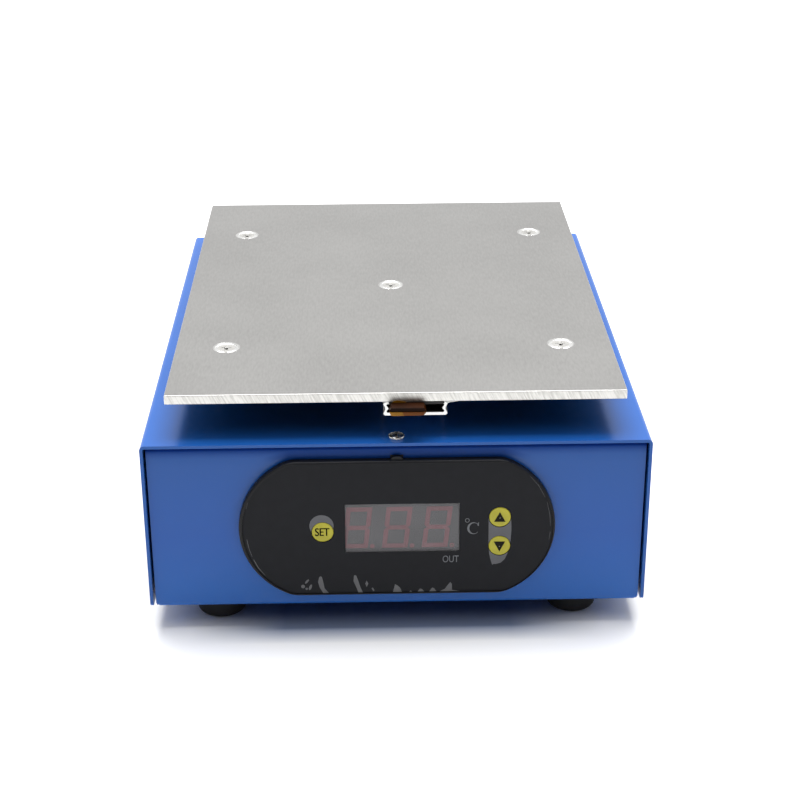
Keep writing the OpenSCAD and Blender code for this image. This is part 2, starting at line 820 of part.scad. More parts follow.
module set_key() { key(set_key_at); }
module up_key() { key(up_key_at); }
module down_key() { key(down_key_at); }
module set_button() { tact_button(set_key_at); }
module up_button() { tact_button(up_key_at); }
module down_button() { tact_button(down_key_at); }

module tact_switches() {
    color([0.2, 0.2, 0.2]) for (at = [set_key_at, up_key_at, down_key_at])
        translate([at[0], 0, at[1]]) difference() {
            from_front(switch_front, display_back) square(tact, center = true);
            from_front(switch_front - cut, switch_front + button_in + key_travel + 0.2)
                circle(d = button_d + 0.2);
        }
}

module display_board() {
    color([0.1, 0.35, 0.2]) from_front(display_back, display_back + board_t) difference() {
        square([display_board_w, display_board_h], center = true);
        for (x = [-1, 1], z = [-1, 1]) translate([x * boss_x, z * boss_z]) circle(d = 2.5);
    }
}

module display_board_screws() {
    color([0.75, 0.75, 0.75]) for (x = [-1, 1], z = [-1, 1])
        translate([x * boss_x, front_face + display_back + board_t, bezel_z + z * boss_z])
            rotate([-90, 0, 0]) pan_screw(1.9, 3.8, 1.4, 6);
}

// Power board and its parts
module board_holes(z) {
    for (x = [-1, 1], y = [-1, 1])
        translate([board_x + x * (board_w / 2 - board_hole_in),
                   board_y + y * (board_d / 2 - board_hole_in), z]) children();
}

module power_board() {
    color([0.1, 0.35, 0.2]) difference() {
        translate([board_x - board_w / 2, board_y - board_d / 2, board_z])
            cube([board_w, board_d, board_t]);
        board_holes(board_z - cut) cylinder(d = m3 + hole_clear, h = board_t + 2 * cut);
    }
}

module board_standoffs() {
    color([0.78, 0.66, 0.35]) board_holes(floor_top) difference() {
        cylinder(d = standoff_d / cos(30), h = board_lift, $fn = 6);
        translate([0, 0, -cut]) cylinder(d = m3 + thread_clear, h = board_lift + 2 * cut);
    }
}

module standoff_screws() {
    color([0.75, 0.75, 0.75]) board_holes(foot_h) rotate([180, 0, 0])
        pan_screw(m3, pan_m3_head, pan_m3_h, sheet_t + board_lift / 2 - 0.3);
}

module board_screws() {
    color([0.75, 0.75, 0.75]) board_holes(board_top)
        pan_screw(m3, pan_m3_head, pan_m3_h, board_t + board_lift / 2 - 0.3);
}

module transformer_core() {
    window = [(core_size[0] - core_limb - 2 * core_yoke) / 2, core_size[2] - 2 * core_yoke];
    color([0.45, 0.45, 0.47]) translate([core_at[0], core_at[1], board_top + core_size[2] / 2])
        along_y(core_size[1]) difference() {
            square([core_size[0], core_size[2]], center = true);
            for (s = [-1, 1]) translate([s * (core_limb + window[0]) / 2, 0])
                square(window, center = true);
        }
}

module transformer_coil() {
    h = core_size[2] - 2 * core_yoke - 0.4;
    reach = (core_size[0] - core_limb - 2 * core_yoke) / 2 - 0.4;
    color([0.75, 0.55, 0.2]) translate([core_at[0], core_at[1], board_top + core_size[2] / 2])
        difference() {
            cube([core_limb + 2 * reach, core_size[1] + 2 * reach, h], center = true);
            cube([core_limb + 0.3, core_size[1] + 0.3, h + 2 * cut], center = true);
        }
}

module relay() {
    color([0.12, 0.3, 0.6]) translate([board_x - 30, board_y + 14, board_top])
        linear_extrude(relay_h) round_rect(19, 15.4, 0.8);
}

module capacitor() {
    color([0.1, 0.12, 0.2]) translate([board_x - 8, board_y + 16, board_top]) {
        cylinder(d = 10, h = 16);
        cylinder(d = 10.6, h = 1);
    }
}

module terminal_block() {
    len = terminal_ways * terminal_pitch;
    color([0.1, 0.5, 0.3]) translate([terminal_at[0], terminal_at[1], board_top])
        difference() {
            along_x(len) polygon([[-6, 0], [6, 0], [6, 8], [3.5, 13], [-3.5, 13], [-6, 8]]);
            for (i = [0:terminal_ways - 1])
                translate([(i - (terminal_ways - 1) / 2) * terminal_pitch, 0, 0]) {
                    translate([0, 0, 6]) cylinder(d = 4, h = 8);
                    translate([0, -7, way_lift]) rotate([-90, 0, 0]) cylinder(d = 4, h = 6);
                }
        }
}

// Mains inlet with its fuse drawer
module socket_profile(grow) {
    w = socket_w / 2 + grow;
    h = socket_h / 2 + grow;
    c = socket_chamfer;
    polygon([[-w, -h], [w, -h], [w, h - c], [w - c, h], [c - w, h], [-w, h - c]]);
}

module power_inlet() {
    back = -inlet_body_d;
    color([0.08, 0.08, 0.08]) translate([inlet_x, 0, 0]) difference() {
        union() {
            from_rear(0, inlet_t) round_rect(inlet_w, inlet_h, 4);
            from_rear(back, cut) square([inlet_body_w, inlet_body_h], center = true);
        }
        from_rear(inlet_t - socket_d, inlet_t + cut) translate([0, socket_z]) socket_profile(0);
        from_rear(back - cut, inlet_t) for (p = pins_at) translate([p[0], p[1] + socket_z])
            square([pin_w + 2 * pin_gap, pin_h + 2 * pin_gap], center = true);
        from_rear(inlet_t - drawer_l - drawer_gap, inlet_t + cut) translate([0, drawer_z])
            square([drawer_w + 2 * drawer_gap, drawer_h + 2 * drawer_gap], center = true);
        for (s = [-1, 1]) {
            from_rear(-cut, inlet_t + cut) translate([s * inlet_span / 2, 0])
                circle(d = m3 + hole_clear);
        }
    }
}

module inlet_pins() {
    tail = 8;
    color([0.8, 0.78, 0.7]) translate([inlet_x, 0, 0])
        for (p = pins_at) {
            from_rear(-inlet_body_d - 0.6, inlet_t - pin_short) translate([p[0], p[1] + socket_z])
                square([pin_w, pin_h], center = true);
            from_rear(-inlet_body_d - tail, -inlet_body_d - 0.6) translate([p[0], p[1] + socket_z])
                square([0.8, 6.3], center = true);
        }
}

module inlet_screws() {
    color([0.75, 0.75, 0.75]) for (s = [-1, 1])
        translate([inlet_x + s * inlet_span / 2, rear_face + inlet_t, rear_z])
            rotate([-90, 0, 0]) pan_screw(m3, pan_m3_head, pan_m3_h, 8);
}

module inlet_nuts() {
    color([0.75, 0.75, 0.75]) for (s = [-1, 1])
        translate([inlet_x + s * inlet_span / 2, rear_face - sheet_t - nut_m3_h, rear_z])
            rotate([-90, 0, 0]) hex_nut(nut_m3_af, m3, nut_m3_h);
}

module fuse_drawer() {
    wall = (drawer_w - fuse_l - 0.4) / 2;
    color([0.1, 0.1, 0.1]) translate([inlet_x, 0, 0]) difference() {
        union() {
            from_rear(inlet_t - drawer_l, inlet_t) translate([0, drawer_z])
                square([drawer_w, drawer_h], center = true);
            // Finger lip
            from_rear(inlet_t - cut, inlet_t + drawer_lip) translate([0, drawer_z + drawer_h / 4])
                slot(10, drawer_h / 2);
        }
        // Pocket for the fuse, open above
        from_rear(inlet_t - drawer_l + wall, inlet_t - drawer_l + wall + fuse_d + 0.4)
            translate([0, drawer_z + 0.5])
                square([drawer_w - 2 * wall, drawer_h], center = true);
        from_rear(inlet_t - drawer_l + 2 * wall + fuse_d, inlet_t - 2)
            translate([0, drawer_z + 1]) square([drawer_w - 2 * wall, drawer_h], center = true);
    }
}

module fuse_link() {
    wall = (drawer_w - fuse_l - 0.4) / 2;
    cap = 5;
    r = fuse_d / 2;
    color([0.8, 0.8, 0.78])
        translate([inlet_x, rear_face + inlet_t - drawer_l + wall + r + 0.2,
                   rear_z + drawer_z - drawer_h / 2 + 0.5 + r + 0.1])
            rotate([0, 90, 0]) {
                cylinder(r = r - 0.25, h = fuse_l - 0.2, center = true);
                for (s = [-1, 1]) translate([0, 0, s * (fuse_l - cap) / 2])
                    cylinder(r = r, h = cap, center = true);
            }
}

// Power switch
module switch_body() {
    cavity_d = pivot_depth + rocker_r * sin(rocker_tilt) + rocker_sink + 1;
    color([0.08, 0.08, 0.08]) translate([switch_x, 0, 0]) difference() {
        union() {
            from_rear(0, switch_t) round_rect(switch_w, switch_h, 1.2);
            from_rear(-switch_body_d, cut) square([switch_body_w, switch_body_h], center = true);
        }
        from_rear(-cavity_d, switch_t + cut)
            square([rocker_w + 2 * rocker_gap, 2 * (rocker_r + rocker_gap)], center = true);
        translate([0, rear_face - pivot_depth, rear_z]) rotate([0, 90, 0])
            cylinder(d = trunnion_d + trunnion_clear, h = switch_body_w - 0.4, center = true);
    }
}

// Rocker, seen from its side: two flat faces that meet at the middle, inside a circle round the pivot
module rocker_profile() {
    rise = rocker_r * tan(rocker_tilt);
    intersection() {
        circle(rocker_r);
        polygon([
            [rocker_crown + rise, -rocker_r], [rocker_crown, 0], [rocker_crown + rise, rocker_r],
            [-rocker_sink, rocker_r], [-rocker_sink, -rocker_r]
        ]);
    }
}

module switch_rocker() {
    color([0.75, 0.08, 0.06]) translate([switch_x, rear_face - pivot_depth, rear_z])
        rotate([-rocker_tilt, 0, 0]) {
            along_x(rocker_w) rocker_profile();
            rotate([0, 90, 0]) cylinder(d = trunnion_d, h = switch_body_w - 1, center = true);
        }
}

module switch_terminals() {
    color([0.8, 0.78, 0.7]) for (s = [-1, 1])
        translate([switch_x, 0, s * 5]) from_rear(-switch_body_d - 8, -switch_body_d)
            square([4.8, 0.8], center = true);
}

// Feet
module foot_places() {
    for (sx = [-1, 1], y = [front_edge + foot_inset_y, rear_edge - foot_inset_y])
        translate([sx * (cover_w / 2 - foot_inset_x), y, 0]) children();
}

module rubber_feet() {
    soft = 1.5;
    recess_d = 8.4;
    color([0.05, 0.05, 0.05]) foot_places() difference() {
        rotate_extrude() {
            polygon([[0, 0], [foot_low_d / 2 - soft, 0], [foot_low_d / 2, soft],
                     [foot_d / 2, foot_h], [0, foot_h]]);
            translate([foot_low_d / 2 - soft, soft]) circle(soft);
        }
        translate([0, 0, -cut]) cylinder(d = recess_d, h = foot_h / 2 + cut);
        cylinder(d = m4 + hole_clear, h = foot_h + cut);
    }
}

module foot_screws() {
    color([0.75, 0.75, 0.75]) foot_places() translate([0, 0, foot_h / 2]) rotate([180, 0, 0])
        pan_screw(m4, 7, 2.4, foot_h / 2 + sheet_t + nut_m4_h + 0.6);
}

module foot_nuts() {
    color([0.75, 0.75, 0.75]) foot_places() translate([0, 0, floor_top])
        hex_nut(nut_m4_af, m4, nut_m4_h);
}

module cover_screws() {
    color([0.8, 0.8, 0.8]) for (y = [front_edge + cover_screw_in, rear_edge - cover_screw_in])
        translate([0, y, cover_top])
            pan_screw(cover_screw_d, cover_head_d, cover_head_h, cover_screw_l);
}

// Earth stud in front of the inlet
module earth_stud() {
    color([0.75, 0.75, 0.75]) translate([earth_at[0], earth_at[1], floor_top]) {
        cylinder(d = m4, h = 12);
        cylinder(d = 7, h = 0.8);
    }
}

module earth_nut() {
    color([0.78, 0.66, 0.35]) translate([earth_at[0], earth_at[1], floor_top + 0.8 + 1])
        hex_nut(nut_m4_af, m4, nut_m4_h);
}

// Wires: a smooth curve through the points, with a round or flat section carried along it
function unit(v) = v / norm(v);
function spline(p, i, t) = let (a = p[max(i - 1, 0)], b = p[i], c = p[i + 1],
                                d = p[min(i + 2, len(p) - 1)])
    (2 * b + (c - a) * t + (2 * a - 5 * b + 4 * c - d) * t * t
        + (3 * b - a - 3 * c + d) * t * t * t) / 2;
function smooth(p) = concat(
    [for (i = [0:len(p) - 2], k = [0:wire_steps - 1]) spline(p, i, k / wire_steps)],
    [p[len(p) - 1]]
);
function square_to(v, along) = unit(v - along * (v * along));
function carried(along, sides) = len(sides) == len(along) ? sides
    : carried(along, concat(sides, [square_to(sides[len(sides) - 1], along[len(sides)])]));
function ring_faces(n, rings) = concat(
    [[for (k = [0:n - 1]) k]],
    [for (i = [0:rings - 2], k = [0:n - 1]) [i * n + k, (i + 1) * n + k, (i + 1) * n + (k + 1) % n]],
    [for (i = [0:rings - 2], k = [0:n - 1]) [i * n + k, (i + 1) * n + (k + 1) % n, i * n + (k + 1) % n]],
    [[for (k = [n - 1:-1:0]) (rings - 1) * n + k]]
);

module wire(points, section, side = [1, 0, 0]) {
    path = smooth(points);
    last = len(path) - 1;
    along = [for (i = [0:last]) unit(path[min(i + 1, last)] - path[max(i - 1, 0)])];
    sides = carried(along, [square_to(side, along[0])]);
    polyhedron(
        [for (i = [0:last], q = section) path[i] + q[0] * sides[i] + q[1] * cross(along[i], sides[i])],
        ring_faces(len(section), last + 1)
    );
}

function round_section(d) = [for (k = [0:7]) d / 2 * [cos(45 * k), sin(45 * k)]];

// Place in front of a way of the terminal block, and the run into its hole
function way_x(i) = terminal_at[0] + (i - (terminal_ways - 1) / 2) * terminal_pitch;
function into_way(i, dx) = [
    [way_x(i) + dx, terminal_at[1] - 15, way_z], [way_x(i) + dx, terminal_at[1] - 8, way_z],
    [way_x(i) + dx, terminal_at[1] - 2.4, way_z]
];

// Both leads of each heater, past the probe, through the grommet and into two ways
module heater_leads() {
    z = tube_bottom + tube_wall + tube_inside_h / 2;
    x = tube_x + core_left + core_w / 2;
    end = plate_d / 2 + core_out - core_l - 0.15;
    color([0.75, 0.3, 0.15]) for (s = [-1, 1]) {
        wire(concat([
            [x - 2, mid_y + s * end, z], [x - 2, mid_y + s * (end - 2.5), z],
            [x - 0.4, mid_y + s * 7, z], [x + 3.2, mid_y + s * 4.7, z],
            [x + 9, mid_y + s * 4.3, z], [grommet_x - 6, mid_y + s * 3.8, z],
            [grommet_x - 2.8, mid_y + s * 2.6, z - 2.4],
            [grommet_x - 1.86, mid_y + s * 1.35, cover_top + 4],
            [grommet_x - 1.86, mid_y + s * 1.35, cover_top - 8],
            [grommet_x - 4.5, mid_y - 4 + s * 1.4, 47.5],
            [grommet_x - 12, mid_y - 14 + s * 1.4, 39],
            [way_x(4) + 20, mid_y - 24 + s * 1.3, 32], [way_x(4) + 8, mid_y - 30 + s * 1.1, 27.5],
            [way_x(4) + 2 + 0.7 * s, mid_y - 29.3 + s * 0.8, way_z + 1.6]
        ], into_way(4, 0.95 * s)), round_section(heater_lead_d));
        wire(concat([
            [x + 2, mid_y + s * end, z], [x + 2, mid_y + s * (end - 2.5), z],
            [x + 3.8, mid_y + s * 8.4, z], [x + 8, mid_y + s * 7, z],
            [grommet_x - 5, mid_y + s * 6.4, z], [grommet_x - 0.8, mid_y + s * 4.6, z - 1],
            [grommet_x + 0.6, mid_y + s * 2.7, z - 4],
            [grommet_x + 0.71, mid_y + s * 2.19, cover_top + 2],
            [grommet_x + 0.71, mid_y + s * 2.19, cover_top - 8],
            [grommet_x - 1, mid_y - 5 + s * 1.8, 42], [grommet_x - 7.5, mid_y - 15 + s * 1.5, 32],
            [way_x(5) + 17, mid_y - 25 + s * 1.3, 25.8],
            [way_x(5) + 7.5, mid_y - 29.5 + s * 1.1, 22.8],
            [way_x(5) + 2 + 0.7 * s, mid_y - 29.3 + s * 0.8, way_z + 0.1]
        ], into_way(5, 0.95 * s)), round_section(heater_lead_d));
    }
}

// From the probe to a plug on the display board
module probe_lead() {
    z = tube_bottom + probe_d / 2;
    probe_end = plate_head_d / 2 + 0.6 + probe_l;
    color([0.85, 0.85, 0.82]) {
        wire([
            [probe_end, mid_y, z], [probe_end + 2, mid_y, z],
            [grommet_x - 1, mid_y, tube_bottom + 0.9], [grommet_x + 2.1, mid_y, cover_top + 5],
            [grommet_x + 2.3, mid_y, cover_top - 8], [grommet_x + 6, mid_y - 4, 49],
            [grommet_x + 8, mid_y - 24, 42], [plug_x + 4, mid_y - 66, bezel_z + 2],
            [plug_x, front_face + plug_back + 3, bezel_z], [plug_x, front_face + plug_back, bezel_z]
        ], round_section(probe_lead_d));
        from_front(display_back + board_t, plug_back) translate([plug_x, 0])
            round_rect(6, 5, 0.5);
    }
}

// A crimped sleeve over a flat tab that is w wide, starting beside the tab's root
module sleeve(at, w, turn) {
    translate(at) rotate([0, turn, 0]) difference() {
        translate([0, -sleeve_l / 2, 0]) along_y(sleeve_l) round_rect(w + 2, 3.2, 1);
        translate([0, -tab_l / 2 + cut, 0])
            cube([w + 0.2, tab_l + 2 * cut, 1], center = true);
    }
}

// Live by way of the switch, and neutral round the right of the board
module mains_wires() {
    wire_y = sleeve_y - sleeve_l;
    switch_y = rear_face - switch_body_d - 0.5;
    switch_wire_y = switch_y - sleeve_l;
    color([0.35, 0.2, 0.12]) {
        for (p = [pins_at[1], pins_at[2]])
            sleeve([inlet_x + p[0], sleeve_y, rear_z + p[1] + socket_z], 6.3, 90);
        for (s = [-1, 1]) sleeve([switch_x, switch_y, rear_z + s * 5], 4.8, 0);
        wire([
            [inlet_x - 7, wire_y, pin_z], [inlet_x - 7, wire_y - 5, pin_z],
            [inlet_x - 13, wire_y - 11, pin_z - 3], [inlet_x - 26, wire_y - 13, pin_z - 8],
            [switch_x + 7, wire_y - 10, rear_z - 7], [switch_x, switch_wire_y - 6, rear_z - 5],
            [switch_x, switch_wire_y, rear_z - 5]
        ], round_section(mains_wire_d));
        wire(concat([
            [switch_x, switch_wire_y, rear_z + 5], [switch_x, switch_wire_y - 6, rear_z + 5],
            [switch_x - 7, switch_wire_y - 16, rear_z + 6], [board_x - 14, board_y + 14, rear_z + 4],
            [board_x - 28, board_y - 14, rear_z + 2], [way_x(0) - 3, board_y - 32, rear_z - 4],
            [way_x(0) - 2, board_y - 38, 25]
        ], into_way(0, 0)), round_section(mains_wire_d));
        wire(concat([
            [inlet_x + 7, wire_y, pin_z], [inlet_x + 7, wire_y - 6, pin_z],
            [inlet_x + 4, board_y + 30, rear_z], [inlet_x - 2, board_y + 4, 29],
            [inlet_x - 9, board_y - 26, 23], [inlet_x - 20, board_y - 43, 20],
            [board_x + 6, board_y - 46, 19.5], [way_x(1) + 5, board_y - 42, way_z - 1]
        ], into_way(1, 0)), round_section(mains_wire_d));
    }
}

// Earth: from the inlet's middle pin to a ring under the nut on the stud
module earth_wire() {
    wire_y = sleeve_y - sleeve_l;
    ring = floor_top + 0.8;
    z = rear_z + pins_at[0][1] + socket_z;
    color([0.5, 0.62, 0.15]) {
        sleeve([inlet_x, sleeve_y, z], 6.3, 90);
        wire([
            [inlet_x, wire_y, z], [inlet_x, wire_y - 4, z], [inlet_x + 3, wire_y - 11, z - 6],
            [inlet_x + 12, wire_y - 15, z - 20], [inlet_x + 12, earth_at[1] - 12, ring + 4],
            [inlet_x + 9.5, earth_at[1] - 9.5, ring + 1.6], [inlet_x + 7.6, earth_at[1] - 7.6, ring + 1.6]
        ], round_section(mains_wire_d));
        translate([earth_at[0], earth_at[1], ring]) difference() {
            union() {
                cylinder(d = 8.2, h = 1);
                rotate(-45) translate([3.5, -1.6, 0]) cube([4, 3.2, 1]);
                rotate(-45) translate([6, 0, 1.6]) rotate([0, 90, 0]) cylinder(d = 3.2, h = 4.8);
            }
            translate([0, 0, -cut]) cylinder(d = m4 + hole_clear, h = 1 + 2 * cut);
        }
    }
}

// Flat cable from the display board to a plug on the power board
module display_cable() {
    w = ribbon_ways * 1.2;
    plug_at = [ribbon_x, board_y - board_d / 2 + 14, board_top];
    section = [[-w / 2, -0.6], [w / 2, -0.6], [w / 2, 0.6], [-w / 2, 0.6]];
    color([0.6, 0.6, 0.62]) {
        wire([
            [ribbon_x, front_face + plug_back, bezel_z], [ribbon_x, front_face + plug_back + 4, bezel_z],
            [ribbon_x, front_face + plug_back + 18, bezel_z + 6], [ribbon_x, plug_at[1] - 22, 46],
            [ribbon_x, plug_at[1] - 5, 45], [ribbon_x, plug_at[1], 37],
            [ribbon_x, plug_at[1], board_top + 9]
        ], section);
        from_front(display_back + board_t, plug_back) translate([ribbon_x, 0])
            round_rect(w + 2, 5, 0.5);
        translate(plug_at) linear_extrude(9) round_rect(w + 2, 6, 0.5);
    }
}

// Diodes, resistors, a regulator and a crystal on the power board
module axial_part(at, d, length, turn) {
    translate([at[0], at[1], board_top + d / 2]) rotate([0, 0, turn]) {
        rotate([0, 90, 0]) cylinder(d = d, h = length, center = true);
        for (s = [-1, 1]) {
            translate([s * (length / 2 + 1), 0, 0]) cube([2 + cut, 0.7, 0.7], center = true);
            translate([s * (length / 2 + 2), 0, 0.175 - d / 4])
                cube([0.7, 0.7, d / 2 + 0.35], center = true);
        }
    }
}

module board_parts() {
    color([0.15, 0.15, 0.16]) {
        for (i = [0:3]) axial_part([board_x + 3.4, board_y + 24 - 5 * i], 2.7, 5.2, 0);
        for (i = [0:1]) axial_part([board_x + 31 + 6 * i, board_y - 10], 2.4, 6.4, 90);
        translate([board_x + 42, board_y - 5.5, board_top]) {
            translate([0, 0, 4]) linear_extrude(9) square([4.4, 10], center = true);
            translate([1.6, 0, 4]) linear_extrude(15.5) square([1.3, 10], center = true);
            for (i = [-1:1]) translate([0, 2.54 * i, 0]) linear_extrude(4 + cut)
                square([0.5, 0.8], center = true);
        }
        translate([board_x - 28, board_y - 6, board_top]) linear_extrude(3.4)
            square([9.6, 6.4], center = true);
    }
}

top_cover();
chassis_tray();
heating_plate();
plate_screws();
centre_screw();
plate_spacers();
plate_washers();
plate_nuts();
heater_tube_front();
heater_tube_rear();
heater_core_front();
heater_core_rear();
heater_clamp();
clamp_nut();
temperature_probe();
cable_grommet();
controller_bezel();
membrane_label();
display_window();
led_display();
led_segments();
set_key();
up_key();
down_key();
set_button();
up_button();
down_button();
tact_switches();
display_board();
display_board_screws();
power_board();
board_standoffs();
standoff_screws();
board_screws();
transformer_core();
transformer_coil();
relay();
capacitor();
terminal_block();
power_inlet();
inlet_pins();
inlet_screws();
inlet_nuts();
fuse_drawer();
fuse_link();
switch_body();
switch_rocker();
switch_terminals();
rubber_feet();
foot_screws();
foot_nuts();
cover_screws();
earth_stud();
earth_nut();
heater_leads();
probe_lead();
mains_wires();
earth_wire();
display_cable();
board_parts();
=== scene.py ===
import math
import random

import bmesh
import bpy
from mathutils import Matrix, Vector


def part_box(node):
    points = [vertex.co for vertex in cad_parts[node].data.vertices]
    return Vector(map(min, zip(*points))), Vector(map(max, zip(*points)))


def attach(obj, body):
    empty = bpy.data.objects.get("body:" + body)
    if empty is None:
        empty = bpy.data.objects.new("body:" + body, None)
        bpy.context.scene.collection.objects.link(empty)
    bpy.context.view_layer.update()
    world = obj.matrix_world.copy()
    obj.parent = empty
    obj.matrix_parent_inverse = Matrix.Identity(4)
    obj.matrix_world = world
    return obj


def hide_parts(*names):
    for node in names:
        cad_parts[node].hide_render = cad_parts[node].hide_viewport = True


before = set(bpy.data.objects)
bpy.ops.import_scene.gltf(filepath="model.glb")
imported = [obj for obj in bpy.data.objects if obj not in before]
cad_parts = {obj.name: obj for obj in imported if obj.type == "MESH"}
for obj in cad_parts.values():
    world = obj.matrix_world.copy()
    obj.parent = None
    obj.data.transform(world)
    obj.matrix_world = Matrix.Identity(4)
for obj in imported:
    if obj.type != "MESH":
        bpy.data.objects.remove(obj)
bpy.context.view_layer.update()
mm = 0.001
print("frame loaded")

# Camera, solved from corners of the housing and the plate in the photograph, in millimetres
photoView = {"place": (-8.59, -563.36, 287.79), "yaw": 1.19, "pitch": 24.18, "roll": -0.26,
             "lens": 76.465, "sensor": 36, "near": 0.01, "far": 50}


def makeCamera():
    data = bpy.data.cameras.new("photoCamera")
    data.lens, data.sensor_width, data.sensor_fit = photoView["lens"], photoView["sensor"], "HORIZONTAL"
    data.clip_start, data.clip_end = photoView["near"], photoView["far"]
    eye = bpy.data.objects.new("photoCamera", data)
    bpy.context.scene.collection.objects.link(eye)
    yaw, pitch, roll = (math.radians(photoView[key]) for key in ("yaw", "pitch", "roll"))
    forward = Vector((math.sin(yaw) * math.cos(pitch), math.cos(yaw) * math.cos(pitch),
                      -math.sin(pitch)))
    right = Vector((math.cos(yaw), -math.sin(yaw), 0))
    up = right.cross(forward)
    across = right * math.cos(roll) + up * math.sin(roll)
    upward = up * math.cos(roll) - right * math.sin(roll)
    turn = Matrix((across, upward, -forward)).transposed().to_4x4()
    eye.matrix_world = Matrix.Translation(Vector(photoView["place"]) * mm) @ turn
    bpy.context.scene.camera = eye


makeCamera()
print("camera placed")


# Small tools for selecting and finishing

def nothingSelected():
    if bpy.context.object and bpy.context.object.mode != "OBJECT":
        bpy.ops.object.mode_set(mode="OBJECT")
    bpy.ops.object.select_all(action="DESELECT")


def only(*objects):
    nothingSelected()
    for obj in objects:
        obj.select_set(True)
    bpy.context.view_layer.objects.active = objects[0]


def editing(obj, kind="FACE"):
    only(obj)
    bpy.ops.object.mode_set(mode="EDIT")
    bpy.ops.mesh.select_mode(type=kind)
    bpy.ops.mesh.select_all(action="DESELECT")
    return bmesh.from_edit_mesh(obj.data)


def pickFaces(obj, test):
    mesh = editing(obj, "FACE")
    for face in mesh.faces:
        if test(face.calc_center_median(), face.normal):
            face.select_set(True)
    bmesh.update_edit_mesh(obj.data)


def pickEdges(obj, test):
    mesh = editing(obj, "EDGE")
    for edge in mesh.edges:
        if test(edge.verts[0].co, edge.verts[1].co):
            edge.select_set(True)
    bmesh.update_edit_mesh(obj.data)


def pickPoints(obj, test):
    mesh = editing(obj, "VERT")
    for point in mesh.verts:
        if test(point.co):
            point.select_set(True)
    mesh.select_flush(True)
    bmesh.update_edit_mesh(obj.data)


def applied(obj):
    # Turns, sizes and modifiers go into the mesh
    only(obj)
    bpy.ops.object.transform_apply(location=True, rotation=True, scale=True)
    for modifier in list(obj.modifiers):
        bpy.ops.object.modifier_apply(modifier=modifier.name)
    return obj


def rounded(obj, width, segments=2, angle=35):
    modifier = obj.modifiers.new("edges", "BEVEL")
    modifier.width, modifier.segments = width, segments
    modifier.limit_method, modifier.angle_limit = "ANGLE", math.radians(angle)
    modifier.miter_outer = "MITER_ARC"
    modifier.use_clamp_overlap = True
    return applied(obj)


def cutBy(obj, *tools):
    for tool in tools:
        modifier = obj.modifiers.new("cut", "BOOLEAN")
        modifier.operation, modifier.solver, modifier.object = "DIFFERENCE", "EXACT", tool
        only(obj)
        bpy.ops.object.modifier_apply(modifier=modifier.name)
        bpy.data.objects.remove(tool, do_unlink=True)
    return obj


def joined(first, *others):
    if others:
        only(first, *others)
        bpy.ops.object.join()
    return first


def copied(obj, place=(0, 0, 0), turn=0, axis="Z"):
    # A copy with its own mesh, turned about its own origin and moved to a place
    twin = bpy.data.objects.new(obj.name, obj.data.copy())
    bpy.context.scene.collection.objects.link(twin)
    twin.data.transform(Matrix.Translation(place) @ Matrix.Rotation(turn, 4, axis))
    return twin


def copies(obj, places, turn=0, axis="Z"):
    # Copies of one shape at each of its places, in the shape's stead
    twins = [copied(obj, place, turn, axis) for place in places]
    bpy.data.objects.remove(obj, do_unlink=True)
    return twins


def boxOf(node):
    # Corners of a CAD node in millimetres
    low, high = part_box(node)
    return Vector(low) / mm, Vector(high) / mm


def shapeFrom(points, filled):
    # A circle whose points are moved onto an outline
    nothingSelected()
    bpy.ops.mesh.primitive_circle_add(vertices=len(points), fill_type="NGON" if filled else "NOTHING")
    piece = bpy.context.object
    for point, place in zip(piece.data.vertices, points):
        point.co = place
    return piece


def facedOut(obj):
    editing(obj)
    bpy.ops.mesh.select_all(action="SELECT")
    bpy.ops.mesh.remove_doubles(threshold=0.0005)
    bpy.ops.mesh.normals_make_consistent(inside=False)
    nothingSelected()
    return obj


def prism(points, near, far):
    # An outline in X and Z, pulled back along Y
    piece = shapeFrom([(x, near, z) for x, z in points], True)
    pickFaces(piece, lambda centre, normal: True)
    bpy.ops.mesh.extrude_region_move(TRANSFORM_OT_translate={"value": (0, far - near, 0)})
    return facedOut(piece)


def lathed(profile, steps=40):
    # Distances from the axis with their heights, spun about Z
    piece = shapeFrom([(r, 0, z) for r, z in profile], False)
    pickEdges(piece, lambda a, b: abs(a.x) < 1e-6 and abs(b.x) < 1e-6)
    bpy.ops.mesh.delete(type="EDGE")
    bpy.ops.mesh.select_all(action="SELECT")
    bpy.ops.mesh.spin(steps=steps, angle=math.tau, center=(0, 0, 0), axis=(0, 0, 1))
    return facedOut(piece)


def block(low, high):
    # A cube stretched between two corners
    nothingSelected()
    bpy.ops.mesh.primitive_cube_add(size=1, location=[(a + b) / 2 for a, b in zip(low, high)])
    piece = bpy.context.object
    piece.scale = [b - a for a, b in zip(low, high)]
    return applied(piece)


def shapedEnd(obj, test, factor, centre):
    # Points that pass the test are drawn in towards a centre
    pickPoints(obj, test)
    bpy.ops.transform.resize(value=factor, center_override=centre)
    nothingSelected()
    return obj


def coated(obj, *names):
    # The finishes that a shape's faces take, in the order of their numbers
    obj.data.materials.clear()
    for name in names:
        obj.data.materials.append(finishes[name])
    return obj


# Pieces are modelled in millimetres where they belong, and brought to metres here
def finished(obj, name, finish=None, node=None, smooth=30, body="housing"):
    applied(obj)
    obj.data.transform(Matrix.Scale(mm, 4))
    obj.name = name
    obj.data.name = name
    if finish:
        coated(obj, finish)
    only(obj)
    if smooth:
        # Flat faces stay flat beside their rounded edges
        bpy.ops.object.shade_smooth_by_angle(angle=math.radians(smooth))
        modifier = obj.modifiers.new("normals", "WEIGHTED_NORMAL")
        modifier.keep_sharp = True
        applied(obj)
    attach(obj, body)
    if node:
        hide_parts(node)
    return obj


# Pieces are named after their CAD nodes, and these two take a second word
longerNames = {"relay": "relay_case", "capacitor": "capacitor_can"}


